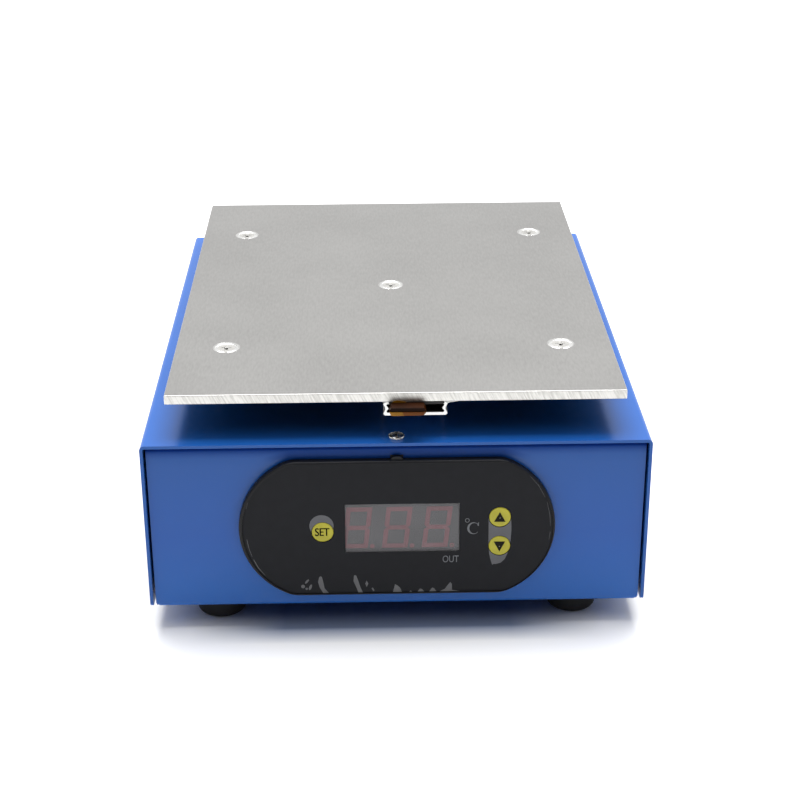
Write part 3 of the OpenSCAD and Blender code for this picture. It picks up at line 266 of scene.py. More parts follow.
def pieceName(node):
    first, *rest = longerNames.get(node, node).split("_")
    return first + "".join(word.capitalize() for word in rest)


def standIn(obj, node, finish=None, smooth=30, body="housing"):
    # A piece that is seen in a CAD node's place
    return finished(obj, pieceName(node), finish, node, smooth, body)


# A copy of a CAD node in millimetres, merged from its loose triangles, with its edges rounded
def softened(node, width, segments=2):
    piece = copied(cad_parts[node])
    piece.data.transform(Matrix.Scale(1 / mm, 4))
    only(piece)
    bpy.ops.mesh.customdata_custom_splitnormals_clear()
    editing(piece)
    bpy.ops.mesh.select_all(action="SELECT")
    bpy.ops.mesh.remove_doubles(threshold=0.002)
    bpy.ops.mesh.dissolve_limited(angle_limit=math.radians(0.4))
    nothingSelected()
    return rounded(piece, width, segments) if width else piece


# Materials. Patterns read Object coordinates, which are metres on every piece.

def linear(hexColour):
    # An sRGB hex value as a linear colour
    parts = [int(hexColour[i:i + 2], 16) / 255 for i in (1, 3, 5)]
    return [c / 12.92 if c <= 0.04045 else ((c + 0.055) / 1.055) ** 2.4 for c in parts] + [1]


def grey(value):
    return (value, value, value, 1)


def perMm(size):
    # Scale of a texture whose features are this many millimetres across
    return 1 / (size * mm)


def between(start, end):
    # The ends of a range along an axis, given in millimetres
    return {"From Min": start * mm, "From Max": end * mm}


def connected(tree, node, inputs):
    # An input takes a value, a socket, or a node whose first output is meant
    for key, source in inputs.items():
        source = source.outputs[0] if isinstance(source, bpy.types.Node) else source
        if isinstance(source, bpy.types.NodeSocket):
            tree.links.new(source, node.inputs[key])
        else:
            node.inputs[key].default_value = source
    return node


def addNode(tree, kind, inputs=None, stops=(), **settings):
    node = tree.nodes.new("ShaderNode" + kind)
    for key, value in settings.items():
        setattr(node, key, value)
    for number, (position, colour) in enumerate(stops):
        ramp = node.color_ramp.elements
        stop = ramp[number] if number < 2 else ramp.new(position)
        stop.position, stop.color = position, linear(colour) if isinstance(colour, str) else colour
    return connected(tree, node, inputs or {})


def startMaterial(name, colour, roughness, metallic=0.0, **sockets):
    material = bpy.data.materials.new(name)
    material.use_nodes = True
    tree = material.node_tree
    shader = tree.nodes["Principled BSDF"]
    connected(tree, shader, {"Base Color": linear(colour), "Roughness": roughness, "Metallic": metallic,
                             **sockets})
    place = addNode(tree, "TexCoord").outputs["Object"]
    return material, tree, shader, place


def surfaced(tree, shader, tone, stops, relief, strength, depth):
    # One pattern tints the surface, and another raises it by a depth in millimetres
    tint = addNode(tree, "ValToRGB", {"Fac": tone}, stops=stops)
    bump = addNode(tree, "Bump", {"Height": relief, "Strength": strength, "Distance": depth * mm})
    connected(tree, shader, {"Base Color": tint, "Normal": bump})
    return tint


def paintedSteel(name):
    # Steel sheet with a sprayed and baked enamel: a soft gloss over a very fine orange peel
    paint = {"colour": "#1C55A3", "pale": "#1E5AAB", "roughness": 0.2, "gloss": 0.3, "peel": 1.1,
             "peelDepth": 0.006, "cloud": 45}
    material, tree, shader, place = startMaterial(name, paint["colour"], paint["roughness"],
                                                  **{"Specular IOR Level": paint["gloss"]})
    cloud = addNode(tree, "TexNoise", {"Vector": place, "Scale": perMm(paint["cloud"]), "Detail": 3})
    peel = addNode(tree, "TexNoise", {"Vector": place, "Scale": perMm(paint["peel"]), "Detail": 2})
    tint = surfaced(tree, shader, cloud, [(0.35, paint["colour"]), (0.75, paint["pale"])],
                    peel, 0.5, paint["peelDepth"])
    return material, tree, shader, place, tint


def panelSteel():
    # The same enamel with painted light and shade on the front panel: a painted shade, darker and without
    # gloss, under the cover's fold and above the controller, and a lighter blue painted low down where the
    # bench lights it. Its ranges are in millimetres, and the painted shade under the fold is given at shares
    # of the rise.
    panel = {"low": "#1F62B7", "middle": "#1C57AC", "high": "#1C55A3", "shaded": "#13347C", "gloss": 0.3,
             "front": (-96.5, -97), "rise": (8, 63.8), "beside": (43, 33), "above": (57.5, 60),
             "overBezel": 0.72, "shadeUnderFold": ((0.88, 0), (0.93, 0.1), (0.955, 0.4), (0.984, 1))}
    material, tree, shader, place, tint = paintedSteel("panelSteel")
    axes = addNode(tree, "SeparateXYZ", {0: place})
    front = addNode(tree, "MapRange", {"Value": axes.outputs["Y"], **between(*panel["front"])})
    rise = addNode(tree, "MapRange", {"Value": axes.outputs["Z"], **between(*panel["rise"])})
    # Painted light: the blue is lighter low down on the panel
    paint = addNode(tree, "ValToRGB", {"Fac": rise},
                    stops=[(0.1, panel["low"]), (0.45, panel["middle"]), (0.9, panel["high"])])
    # Painted shade under the cover's fold, by height
    foldShade = addNode(tree, "ValToRGB", {"Fac": rise},
                   stops=[(height, grey(depth)) for height, depth in panel["shadeUnderFold"]])
    # Painted shade above the controller's bezel
    aside = addNode(tree, "Math", {0: axes.outputs["X"]}, operation="ABSOLUTE")
    across = addNode(tree, "MapRange",
                     {"Value": aside, **between(*panel["beside"]), "To Max": panel["overBezel"]})
    above = addNode(tree, "MapRange", {"Value": axes.outputs["Z"], **between(*panel["above"])})
    bezel = addNode(tree, "Math", {0: across, 1: above}, operation="MULTIPLY")
    deeper = addNode(tree, "Math", {0: foldShade, 1: bezel}, operation="MAXIMUM")
    shade = addNode(tree, "Math", {0: deeper, 1: front}, operation="MULTIPLY")
    # The painted shade darkens the panel's colour and takes away its gloss
    painted = addNode(tree, "Mix", {0: front, 6: tint, 7: paint}, data_type="RGBA")
    shaded = addNode(tree, "Mix", {0: shade, 6: painted.outputs[2], 7: linear(panel["shaded"])},
                     data_type="RGBA")
    shadedGloss = addNode(tree, "MapRange", {"Value": shade, "To Min": panel["gloss"], "To Max": 0})
    connected(tree, shader, {"Base Color": shaded.outputs[2], "Specular IOR Level": shadedGloss})
    return material


def milledAluminium():
    # Rolled aluminium sheet: dull grey, with a fine grain along the rolling direction and faint clouds
    sheet = {"dark": "#959492", "light": "#A5A4A2", "roughness": 0.3, "grain": 0.6, "grainLength": 3,
             "grainDepth": 0.002, "cloud": 38, "cloudShare": 0.6}
    material, tree, shader, place = startMaterial("milledAluminium", sheet["light"], sheet["roughness"], 1.0)
    stretch = addNode(tree, "Mapping",
                      {"Vector": place, "Scale": (1, sheet["grain"] / sheet["grainLength"], 1)})
    grain = addNode(tree, "TexNoise", {"Vector": stretch, "Scale": perMm(sheet["grain"]), "Detail": 4})
    cloud = addNode(tree, "TexNoise", {"Vector": place, "Scale": perMm(sheet["cloud"]), "Detail": 5})
    blend = addNode(tree, "Math", {0: cloud, 1: sheet["cloudShare"], 2: grain}, operation="MULTIPLY_ADD")
    surfaced(tree, shader, blend, [(0.45, sheet["dark"]), (1, sheet["light"])],
             grain, 0.4, sheet["grainDepth"])
    return material


def sawnAluminium():
    # The sawn edge of the sheet: bright, with uneven saw marks that lean a little
    edge = {"dark": "#B5B4B0", "light": "#D0CFCB", "roughness": 0.35, "mark": 0.45, "markLength": 5,
            "lean": 25, "markDepth": 0.009}
    material, tree, shader, place = startMaterial("sawnAluminium", edge["light"], edge["roughness"], 1.0)
    turned = addNode(tree, "Mapping", {"Vector": place, "Rotation": (0, math.radians(edge["lean"]), 0)})
    stretch = addNode(tree, "Mapping",
                      {"Vector": turned, "Scale": (1, 1, edge["mark"] / edge["markLength"])})
    marks = addNode(tree, "TexNoise", {"Vector": stretch, "Scale": perMm(edge["mark"]), "Detail": 3})
    surfaced(tree, shader, marks, [(0.35, edge["dark"]), (0.6, edge["light"])],
             marks, 0.5, edge["markDepth"])
    return material


def plain(name, colour, roughness, metallic=0.0, size=2.0, depth=0.01, shade=0.85, sockets=None):
    # A fine surface grain, with cloudy patches a little darker; sizes and depth in millimetres
    material, tree, shader, place = startMaterial(name, colour, roughness, metallic, **(sockets or {}))
    cloud = addNode(tree, "TexNoise", {"Vector": place, "Scale": perMm(size * 6), "Detail": 3})
    grain = addNode(tree, "TexNoise", {"Vector": place, "Scale": perMm(size), "Detail": 2})
    base = linear(colour)
    surfaced(tree, shader, cloud, [(0.35, [c * shade for c in base[:3]] + [1]), (0.65, base)],
             grain, 0.4, depth)
    return material


# Name: colour, roughness, metallic, grain size and depth, how dark the cloudy patches are, other sockets
plainFinishes = {
    # Plated and turned metals: bright, with a highlight that the turning or plating spreads a little
    "zincPlatedSteel": ("#C9CACC", 0.28, 1, 1.2), "nickelPlatedScrew": ("#EDEDEB", 0.2, 1, 0.8),
    "turnedAluminium": ("#D5D5D3", 0.35, 1, 0.6), "extrudedAluminium": ("#E4E4E2", 0.4, 1, 1),
    "stainlessTube": ("#C4C3C0", 0.3, 1, 0.8), "soldered": ("#B9BBBD", 0.3, 1, 0.5),
    "turnedBrass": ("#C8A558", 0.3, 1, 0.6), "tinnedBrass": ("#C9C5B8", 0.3, 1, 0.8),
    # Metals dulled by wear or varnish, and a near-black aluminium painted as the shade under the plate
    "wornZinc": ("#A5A4A1", 0.55, 1, 0.4, 0.01), "shadedAluminium": ("#3D3C3A", 0.6, 1, 0.8),
    "laminatedSteel": ("#6E6F72", 0.45, 0.8, 0.5),
    # Painted shade: nearly black and without a sheen, in screws' deep crosses, on the tube's upper lip and
    # in its bore
    "shadeBlack": ("#15120F", 0.6, 0, 0.5), "boreShade": ("#24211F", 0.5, 0.3, 0.8),
    # Polyimide film from dark brown to gold in uneven patches, its darkest a painted shade, and the pale
    # paste beside it
    "polyimideTape": ("#321705", 0.4, 0, 1.5, 0.03, 0.5, {"Specular IOR Level": 0.05}),
    "filmShade": ("#210D03", 0.45, 0, 1.5, 0.03, 0.5, {"Specular IOR Level": 0.06}),
    "goldFilm": ("#A97513", 0.35, 0, 1.5, 0.02, 0.6, {"Specular IOR Level": 0.2}),
    "amberFilm": ("#76410D", 0.35, 0, 1.2, 0.02, 0.5, {"Specular IOR Level": 0.15}),
    "heatPaste": ("#E8E8E4", 0.6, 0, 0.5),
    # Black rubber, nylon, epoxy and moulded plastic: a broad soft gloss, and a pale grey for highlights
    # painted on the bezel's rim
    "nitrileRubber": ("#0D0D0F", 0.75, 0, 0.9, 0.03), "blackNylon": ("#141416", 0.45, 0, 0.5, 0.012),
    "blackEpoxy": ("#1A1A1C", 0.4, 0, 0.5), "rimHighlightAbs": ("#5E6064", 0.5, 0, 0.4, 0.01, 0.6),
    "moldedAbs": ("#18191C", 0.4, 0, 0.5, 0.01, 0.9, {"Specular IOR Level": 0.2}),
    # Label, window and display: smooth and low in gloss, the window seen through
    "printedFilm": ("#1D1E22", 0.45, 0, 0.6, 0.004, 0.92, {"Specular IOR Level": 0.12}),
    "windowFilm": ("#6E6D70", 0.25, 0, 1, 0.004, 0.9, {"Alpha": 0.3}),
    "displayGrey": ("#88878A", 0.5, 0, 1, 0.004, 0.95), "displaySegment": ("#CB8992", 0.5, 0, 1, 0.004, 0.9),
    # A pale grey painted as highlights on the keys' domes and the display's dot
    "paleHighlight": ("#9A9A88", 0.3, 0, 0.5), "bareFilm": ("#55565B", 0.4, 0, 0.8, 0.004),
    "tornFilm": ("#58595C", 0.4, 0, 0.6, 0.004), "greyPrint": ("#6B6E73", 0.5, 0, 0.5, 0.004),
    "blackPrint": ("#1B190A", 0.5, 0, 0.5, 0.004, 0.8, {"Specular IOR Level": 0.1}),
    "whitePrint": ("#E6E6E2", 0.45, 0, 0.5, 0.004),
    # Coloured plastics, lacquered board and tape: even colour with a clear soft highlight
    "yellowKey": ("#BCB41B", 0.4, 0, 1, 0.004), "redRocker": ("#B3140F", 0.3, 0, 0.6),
    "circuitBoard": ("#12512F", 0.35, 0, 1, 0.02), "polyesterTape": ("#C9962E", 0.3, 0, 3),
    "relayBlue": ("#1E4C99", 0.35, 0, 0.6), "capacitorSleeve": ("#16182A", 0.3, 0, 1),
    "terminalGreen": ("#1E7A48", 0.4, 0, 0.6), "siliconeSleeve": ("#A33A1E", 0.5, 0, 1.5),
    "whiteSleeve": ("#D9D8D2", 0.35, 0, 1.5), "brownPvc": ("#4A2C1C", 0.4, 0, 1.5),
    "earthPvc": ("#8FA51E", 0.4, 0, 1.5), "greyPvc": ("#8E8E90", 0.4, 0, 1.5),
    # Thin clear glass
    "fuseGlass": ("#C7CCC9", 0.1, 0, 0.8, 0.004, 0.95, {"Alpha": 0.35}),
}
finishes = {"paintedSteel": paintedSteel("paintedSteel")[0], "panelSteel": panelSteel(),
            "milledAluminium": milledAluminium(), "sawnAluminium": sawnAluminium()}
for name, values in plainFinishes.items():
    finishes[name] = plain(name, *values)

# The CAD nodes that are made of each
madeOf = {
    "paintedSteel": "top_cover", "panelSteel": "chassis_tray", "milledAluminium": "heating_plate",
    "nickelPlatedScrew": "plate_screws centre_screw cover_screws",
    "zincPlatedSteel": "plate_washers plate_nuts heater_clamp clamp_nut display_board_screws board_screws "
                       "standoff_screws inlet_screws inlet_nuts foot_screws foot_nuts earth_stud",
    # The spacers under the plate take the painted shade
    "shadedAluminium": "plate_spacers", "extrudedAluminium": "heater_tube_front heater_tube_rear",
    "polyimideTape": "heater_core_front heater_core_rear", "stainlessTube": "temperature_probe",
    "nitrileRubber": "cable_grommet rubber_feet", "moldedAbs": "controller_bezel",
    "printedFilm": "membrane_label", "windowFilm": "display_window", "displayGrey": "led_display",
    "displaySegment": "led_segments", "yellowKey": "set_key up_key down_key",
    "blackNylon": "set_button up_button down_button tact_switches power_inlet fuse_drawer switch_body",
    "blackEpoxy": "board_parts", "circuitBoard": "display_board power_board",
    "turnedBrass": "board_standoffs earth_nut", "tinnedBrass": "inlet_pins switch_terminals",
    "laminatedSteel": "transformer_core", "polyesterTape": "transformer_coil", "relayBlue": "relay",
    "capacitorSleeve": "capacitor", "terminalGreen": "terminal_block", "fuseGlass": "fuse_link",
    "redRocker": "switch_rocker", "siliconeSleeve": "heater_leads", "whiteSleeve": "probe_lead",
    "brownPvc": "mains_wires", "earthPvc": "earth_wire", "greyPvc": "display_cable",
}
nodeFinish = {node: finish for finish, nodes in madeOf.items() for node in nodes.split()}
for node, finish in nodeFinish.items():
    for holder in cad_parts[node].material_slots:
        holder.material = finishes[finish]
print("materials on", len(nodeFinish), "nodes")


# Housing, with the small radius that a folded and painted edge has

def remade(node, width, body="housing", segments=2, smooth=30):
    # A CAD node's own shape with its edges rounded
    return standIn(softened(node, width, segments), node, nodeFinish[node], smooth, body)


foldRadius = 0.2
remade("top_cover", foldRadius)
remade("chassis_tray", foldRadius)
print("housing made")


# Screws, in millimetres about their own axis with the head upwards

# A turn of the thread: its pitch, the root's share of the radius, and where its crest lies in the pitch
thread = {"pitch": 0.7, "root": 0.86, "crest": (0.4, 0.55), "steps": 32}


def threaded(radius, top, bottom):
    # Side of a shank with rings for the turns of its thread, from the head down to the tip
    rows = []
    for turn in range(int((top - bottom) / thread["pitch"])):
        z = top - turn * thread["pitch"]
        rows.append((radius * thread["root"], z))
        rows += [(radius, z - share * thread["pitch"]) for share in thread["crest"]]
    return rows + [(radius * thread["root"], bottom + 0.3), (radius * 0.7, bottom), (0, bottom)]


def recessed(screw, top, deep, shallow):
    # A deep cross in the middle and shallow slots that run out through the head's edge, each with its
    # reach, width and depth. The deep faces take the second material, a painted shade, and the slots the
    # third.
    for slots in (shallow, deep):
        reach, width, depth = slots
        for turn in (0, 90):
            blade = block((-reach, -width / 2, top - depth), (reach, width / 2, top + 1))
            if slots is deep:
                shapedEnd(blade, lambda p: p.z < top - depth / 2, (0.35, 0.7, 1), (0, 0, 0))
            blade.data.transform(Matrix.Rotation(math.radians(turn), 4, "Z"))
            cutBy(screw, blade)
    slotFloor, crossFloor = top - shallow[2], top - deep[2]
    for face in screw.data.polygons:
        x, y, z = face.center
        narrow, far = min(abs(x), abs(y)), max(abs(x), abs(y))
        if narrow < deep[1] / 2 + 0.02 and far < deep[0] and crossFloor - 0.05 < z < slotFloor - 0.01:
            face.material_index = 1
        elif narrow < shallow[1] / 2 + 0.02 and far < shallow[0] and slotFloor - 0.02 < z < top - 0.02:
            face.material_index = 2
    return screw


# Head of a countersunk screw: radius of its worn flat, heights of the flat's edge and floor and of the
# rim, the slot worn out to its edge, and the reach, width and depth of its cross and of its slots
countersink = {"flat": 2.8, "top": -0.12, "floor": -0.14, "rim": -0.45, "wornHalf": 0.6, "wornDepth": 0.5,
               "cross": (0.95, 0.8, 1.9), "slots": (1.6, 0.95, 0.1)}


def countersunk(headD, shankD, length):
    # The head is flat and worn in the middle, and its ring slopes down to the edge
    c = countersink
    r, flat, floor, half, edge = headD / 2, c["flat"], c["floor"], c["wornHalf"], c["rim"] - 0.1
    outline = [(0, floor), (flat - 0.2, floor), (flat, c["top"]), (flat + 0.3, floor), (r - 0.5, 2 * floor),
               (r - 0.1, c["rim"]), (r, edge), (shankD / 2, edge - (r - shankD / 2))]
    screw = lathed(outline + threaded(shankD / 2, outline[-1][1], -length), thread["steps"])
    coated(screw, "nickelPlatedScrew", "shadeBlack", "wornZinc")
    # A slot worn out to the edge runs from front to back
    cutBy(screw, block((-half, -r - 1, -c["wornDepth"]), (half, r + 1, 1)))
    recessed(screw, c["top"], c["cross"], c["slots"])
    for face in screw.data.polygons:
        x, y, z = face.center
        worn = math.hypot(x, y) < flat or abs(x) < half - 0.02
        if not face.material_index and face.normal.z > 0.9 and z > edge and worn:
            face.material_index = 2
    return screw


def panHead(headD, headH, shankD, length, finish="zincPlatedSteel"):
    r = headD / 2
    dome = [(r * math.sin(a), headH * (0.4 + 0.6 * math.cos(a))) for a in
            (math.radians(d) for d in (0, 18, 36, 54, 72, 90))]
    screw = lathed(dome + [(r, 0.1), (r - 0.1, 0), (shankD / 2, 0)] + threaded(shankD / 2, -0.05, -length),
                   thread["steps"])
    coated(screw, finish, "shadeBlack", "wornZinc")
    # Its cross and slots are shares of the head's radius and height
    return recessed(screw, headH, (r * 0.62, r * 0.22, headH * 0.75), (r * 0.8, r * 0.3, headH * 0.25))


def setOut(screw, places, node, turn=0):
    # One screw at each of its places, turned about X in degrees, as one piece
    return standIn(joined(*copies(screw, places, math.radians(turn), "X")), node)


def footOf(low, high):
    # Middle of a box's underside
    return Vector(((low.x + high.x) / 2, (low.y + high.y) / 2, low.z))


def corners(spanX, spanY, z, middle=(0, 0)):
    return [(middle[0] + x * spanX / 2, middle[1] + y * spanY / 2, z) for x in (-1, 1) for y in (-1, 1)]


# Heating plate: sheet with countersunk seats, and a fine burr left along the sawn front edge

plate = {"edge": 0.28, "seatD": 8.75, "seatSunk": 0.05, "holeD": 4.4, "spanX": 107.5, "spanY": 112.5,
         "headD": 8.4, "screwD": 4, "screwLength": 25, "middleLength": 12.6, "burrPitch": 0.55,
         "burrReach": 0.22, "burrT": 0.08}
plateLow, plateHigh = boxOf("heating_plate")
midY = (plateLow.y + plateHigh.y) / 2
screwPlaces = corners(plate["spanX"], plate["spanY"], plateHigh.z, (0, midY))
middlePlace = (0, midY, plateHigh.z)


def heatingPlate():
    sheet = rounded(block(plateLow, plateHigh), plate["edge"], 3)
    wide, narrow, sunk = plate["seatD"] / 2, plate["holeD"] / 2, -plate["seatSunk"]
    seat = lathed([(0, 0.5), (wide, 0.5), (wide, sunk), (narrow, sunk - (wide - narrow)), (narrow, -5),
                   (0, -5)], 64)
    places = screwPlaces + [middlePlace]
    cutBy(sheet, *copies(seat, places))
    # The sides are sawn and the seats turned; the underside takes a near-black aluminium, painted shade
    # under the plate
    coated(sheet, "milledAluminium", "sawnAluminium", "turnedAluminium", "shadedAluminium")
    for face in sheet.data.polygons:
        x, y, z = face.center
        fromSide = min(x - plateLow.x, plateHigh.x - x, y - plateLow.y, plateHigh.y - y)
        fromScrew = min(math.dist((x, y), place[:2]) for place in places)
        if face.normal.z < -0.9 and z < plateLow.z + 0.01:
            face.material_index = 3
        elif fromSide < plate["edge"] and abs(face.normal.z) < 0.8:
            face.material_index = 1
        elif fromScrew < wide + 0.01 and len(face.vertices) < 9:
            face.material_index = 2
    return standIn(sheet, "heating_plate")


def sawBurr():
    chance = random.Random(7)
    steps = int((plateHigh.x - plateLow.x - 2) / plate["burrPitch"])
    foot = plateHigh.z - plate["edge"] - 0.1
    ridge = [(plateLow.x + 1 + i * plate["burrPitch"],
              foot + 0.1 + plate["burrReach"] * chance.random() ** 2) for i in range(steps)]
    outline = [(ridge[0][0], foot)] + ridge + [(ridge[-1][0], foot)]
    burr = prism(outline, plateLow.y + 0.02, plateLow.y + 0.02 + plate["burrT"])
    return finished(burr, "sawBurr", "sawnAluminium", smooth=0)


# Pan head screws: head across, head height, shank across, length
panScrews = {"cover": (5, 1.25, 3, 8), "inlet": (5.6, 2.1, 3, 8), "board": (5.6, 2.1, 3, 4.8),
             "standoff": (5.6, 2.1, 3, 4.2), "foot": (7, 2.4, 4, 8.8), "display": (3.8, 1.4, 1.9, 6)}
coverScrewY = (-94.89, 92.51)

heatingPlate()
sawBurr()
setOut(countersunk(plate["headD"], plate["screwD"], plate["screwLength"]), screwPlaces, "plate_screws")
setOut(countersunk(plate["headD"], plate["screwD"], plate["middleLength"]), [middlePlace], "centre_screw")
setOut(panHead(*panScrews["cover"], "nickelPlatedScrew"),
       [(0, y, boxOf("top_cover")[1].z) for y in coverScrewY], "cover_screws")
for node, slot, width in (
        ("plate_spacers", "spacer_aluminium", 0.25), ("plate_washers", "zinc_steel", 0.1),
        ("plate_nuts", "zinc_steel", 0.3), ("heater_clamp", "zinc_steel", 0.25),
        ("clamp_nut", "zinc_steel", 0.3), ("temperature_probe", "stainless_steel", 0.15),
        ("cable_grommet", "rubber", 0.15)):
    remade(node, width)
print("plate made")


# Heaters: pressed tubes, and cores wrapped in film with a crease where the film is folded at the end

heater = {"crease": 0.45, "short": 0.6, "pasteDepth": 0.9, "lift": 0.65, "lip": 0.82, "wall": 0.9}


def heaterCore(node, front):
    low, high = boxOf(node)
    y, turn = (low.y, 1) if front else (high.y, -1)
    x0, x1, z0, z1 = low.x, high.x - heater["short"], low.z, high.z
    middle, soft, split = (z0 + z1) / 2, 0.28 * (z1 - z0), x0 + 0.36 * (x1 - x0)
    crease, lift = heater["crease"], heater["lift"]
    mouth = boxOf("heater_tube_front")[0].y - boxOf("heater_core_front")[0].y
    body = [(x0, middle), (x0 + soft, z0), (x1 - soft, z0), (x1, middle), (x1 - soft, z1), (x0 + soft, z1)]
    shadedTop = [(x0 + 0.1, middle + 0.1), (x1 - 0.2, middle + 0.1), (x1 - 0.5, middle + 0.9),
             (x1 - 0.9, z1 - 0.1), (x0 + 0.5, z1 - 0.1)]
    gold = [(x0 + 0.05, middle - 0.1), (x0 + 0.5, z0 + 0.15), (x0 + 0.9, z0), (split + 0.5, z0),
            (split, middle - 0.1)]
    amber = [(split - 0.2, middle - 0.1), (split + 0.3, z0 + 0.02), (x1 - 1.5, z0 + 0.02),
             (x1 - 0.8, z0 + 0.25), (x1 - 0.15, middle - 0.35), (x1 - 0.1, middle - 0.1)]
    # The wrapped bar in its tube, and its loose end, which stands higher in front of the tube. On that end
    # lie the folded film above the crease, darker as painted shade under the plate, and the film below it in
    # two tones.
    pieces = []
    for finish, outline, near, far, up in (
            ("polyimideTape", body, mouth - 0.02, high.y - low.y, 0),
            ("polyimideTape", body, crease, mouth - 0.03, lift),
            ("filmShade", shadedTop, 0.22, crease + 0.3, lift), ("goldFilm", gold, 0.02, crease + 0.3, lift),
            ("amberFilm", amber, 0.05, crease + 0.3, lift)):
        piece = prism([(x, z + up) for x, z in outline], y + turn * near, y + turn * far)
        pieces.append(coated(rounded(piece, 0.12, 3, 20), finish))
    return standIn(joined(*pieces), node)


def tapeTab():
    # A strip of the film that comes up between the tube and the plate and over the sawn edge
    left, bottom = boxOf("heater_core_front")[0].x, plateLow.z
    outline = [(left + 1.0, bottom - 0.3), (left + 5.2, bottom - 0.3), (left + 5.0, bottom + 0.05),
               (left + 3.2, bottom + 0.45), (left + 2.4, bottom + 0.5), (left + 1.2, bottom + 0.1)]
    tab = prism(outline, plateLow.y - 0.12, plateLow.y + 0.2)
    return finished(tab, "tapeTab", "goldFilm", smooth=0)


def lipShade():
    # Painted shade: a near-black strip over the tube's upper lip, under the plate, between the film and the
    # right wall
    low, high = boxOf("heater_tube_front")
    bottom, top = high.z - heater["lip"], high.z - 0.02
    outline = [(low.x + 1.9, bottom), (high.x - 1.5, bottom), (high.x - 0.9, high.z - 0.5),
               (high.x - 1.1, top), (low.x + 1.6, top)]
    strip = prism(outline, low.y - 0.025, low.y + 0.2)
    return finished(strip, "lipShade", "shadeBlack", smooth=0)


def pasteBead():
    # Heat paste pressed out beside the tube, under the front edge of the plate
    low, high = boxOf("heater_tube_front")
    side, top = high.x, high.z
    outline = [(side - 0.4, top), (side - 0.3, top - 0.75), (side + 0.15, top - 0.7),
               (side + 0.7, top - 0.38), (side + 2, top - 0.22), (side + 3.2, top - 0.08), (side + 3.3, top)]
    bead = rounded(prism(outline, low.y + 0.15, low.y + heater["pasteDepth"]), 0.1, 2, 20)
    return finished(bead, "pasteBead", "heatPaste")


def heaterTube(node):
    # Painted shade: the bore's inner faces take a near-black finish, as the bore is deep
    low, high = boxOf(node)
    wall = heater["wall"]
    tube = coated(softened(node, 0.12), "extrudedAluminium", "boreShade")
    for side in tube.data.polygons:
        x, y, z = side.center
        within = low.x + wall < x < high.x - wall and low.y + 0.15 < y < high.y - 0.15
        if within and low.z + wall < z < high.z - 0.1:
            side.material_index = 1
    return standIn(tube, node)


heaterTube("heater_tube_front")
heaterTube("heater_tube_rear")
heaterCore("heater_core_front", True)
heaterCore("heater_core_rear", False)
tapeTab()
lipShade()
pasteBead()
print("heaters made")


# Controller, with its prints as thin raised shapes; places are from the middle of the label

labelLow, labelHigh = boxOf("membrane_label")
labelZ, labelFront = (labelLow.z + labelHigh.z) / 2, labelLow.y
printed = {"depth": 0.04, "sunk": 0.05}
# The label reaches this much further to the left, right, bottom and top, with a gap round it
labelFit = {"wide": (0.8, 0.3, 0.7, 0.5), "gap": 0.05, "edge": 0.1}
setAt, upAt, downAt = (((low + high) / 2 - Vector((0, 0, labelZ))).xz for low, high in
                       (boxOf("set_key"), boxOf("up_key"), boxOf("down_key")))


def printAt(outline, at=(0, 0), front=None, depth=None):
    # A flat mark whose outline is given from a place on the label
    front = labelFront if front is None else front
    depth = printed["depth"] if depth is None else depth
    placed = [(at[0] + x, labelZ + at[1] + z) for x, z in outline]
    return prism(placed, front - depth, front + printed["sunk"])


def ellipse(x, z, across, tall, count=24, lean=0):
    # Half its width and half its height, with its number of points and its lean in degrees
    c, s = math.cos(math.radians(lean)), math.sin(math.radians(lean))
    turns = [math.tau * i / count for i in range(count)]
    points = [(across * math.cos(turn), tall * math.sin(turn)) for turn in turns]
    return [(x + a * c - b * s, z + a * s + b * c) for a, b in points]


def band(outer, inner):
    # An outline between an outer and an inner row of points
    return outer + inner[::-1]


def lettering(words, low, high, front, bold=0.0):
    # Words fitted between two corners on the label; a bold one has a second copy beside the first
    if bold:
        return joined(*(lettering(words, (low[0] + side, low[1]), (high[0] + side, high[1]), front)
                        for side in (-bold, bold)))
    nothingSelected()
    bpy.ops.object.text_add()
    text = bpy.context.object
    text.data.body, text.data.extrude = words, 0.5
    text.data.resolution_u = 6
    bpy.ops.object.convert(target="MESH")
    piece = bpy.context.object
    least = [min(p.co[i] for p in piece.data.vertices) for i in range(3)]
    most = [max(p.co[i] for p in piece.data.vertices) for i in range(3)]
    thickness = printed["depth"] + printed["sunk"]
    for p in piece.data.vertices:
        x, z, y = ((p.co[i] - least[i]) / (most[i] - least[i]) for i in range(3))
        p.co = (low[0] + x * (high[0] - low[0]), front + printed["sunk"] - y * thickness,
                labelZ + low[1] + z * (high[1] - low[1]))
    return facedOut(piece)


def key(node, at, marks):
    # A domed cap on a stem, with its print; the print rides with the key
    low, high = boxOf(node)
    r, height = (high.x - low.x) / 2, high.y - low.y
    cap = lathed([(0, height - 0.03), (r * 0.8, height - 0.04), (r - 0.1, height - 0.07), (r, height - 0.16),
                  (r, height - 1.1), (r - 0.1, height - 1.2), (1.6, height - 1.2), (1.6, 0), (0, 0)], 64)
    turned = copies(cap, [(at[0], high.y, labelZ + at[1])], math.radians(90), "X")[0]
    standIn(turned, node, "yellowKey", body=node)
    for number, (shape, finish) in enumerate(marks):
        finished(shape, f"{pieceName(node)}Print{number}", finish, smooth=0, body=node)


# Prints on the keys, from the middle of each key: the word's corners, and the triangles, each with a pale
# fleck painted as the highlight on its small dome
keyPrint = {"low": Vector((-2.3, -1.3)), "high": Vector((2.05, 1.45)), "bold": 0.07,
            "up": [(-0.06, 1.77), (-1.82, -1.59), (1.75, -1.65)],
            "down": [(-1.82, 1.47), (0, -2.07), (1.74, 1.41)], "fleck": (0, -0.25, 0.16, 0.14)}


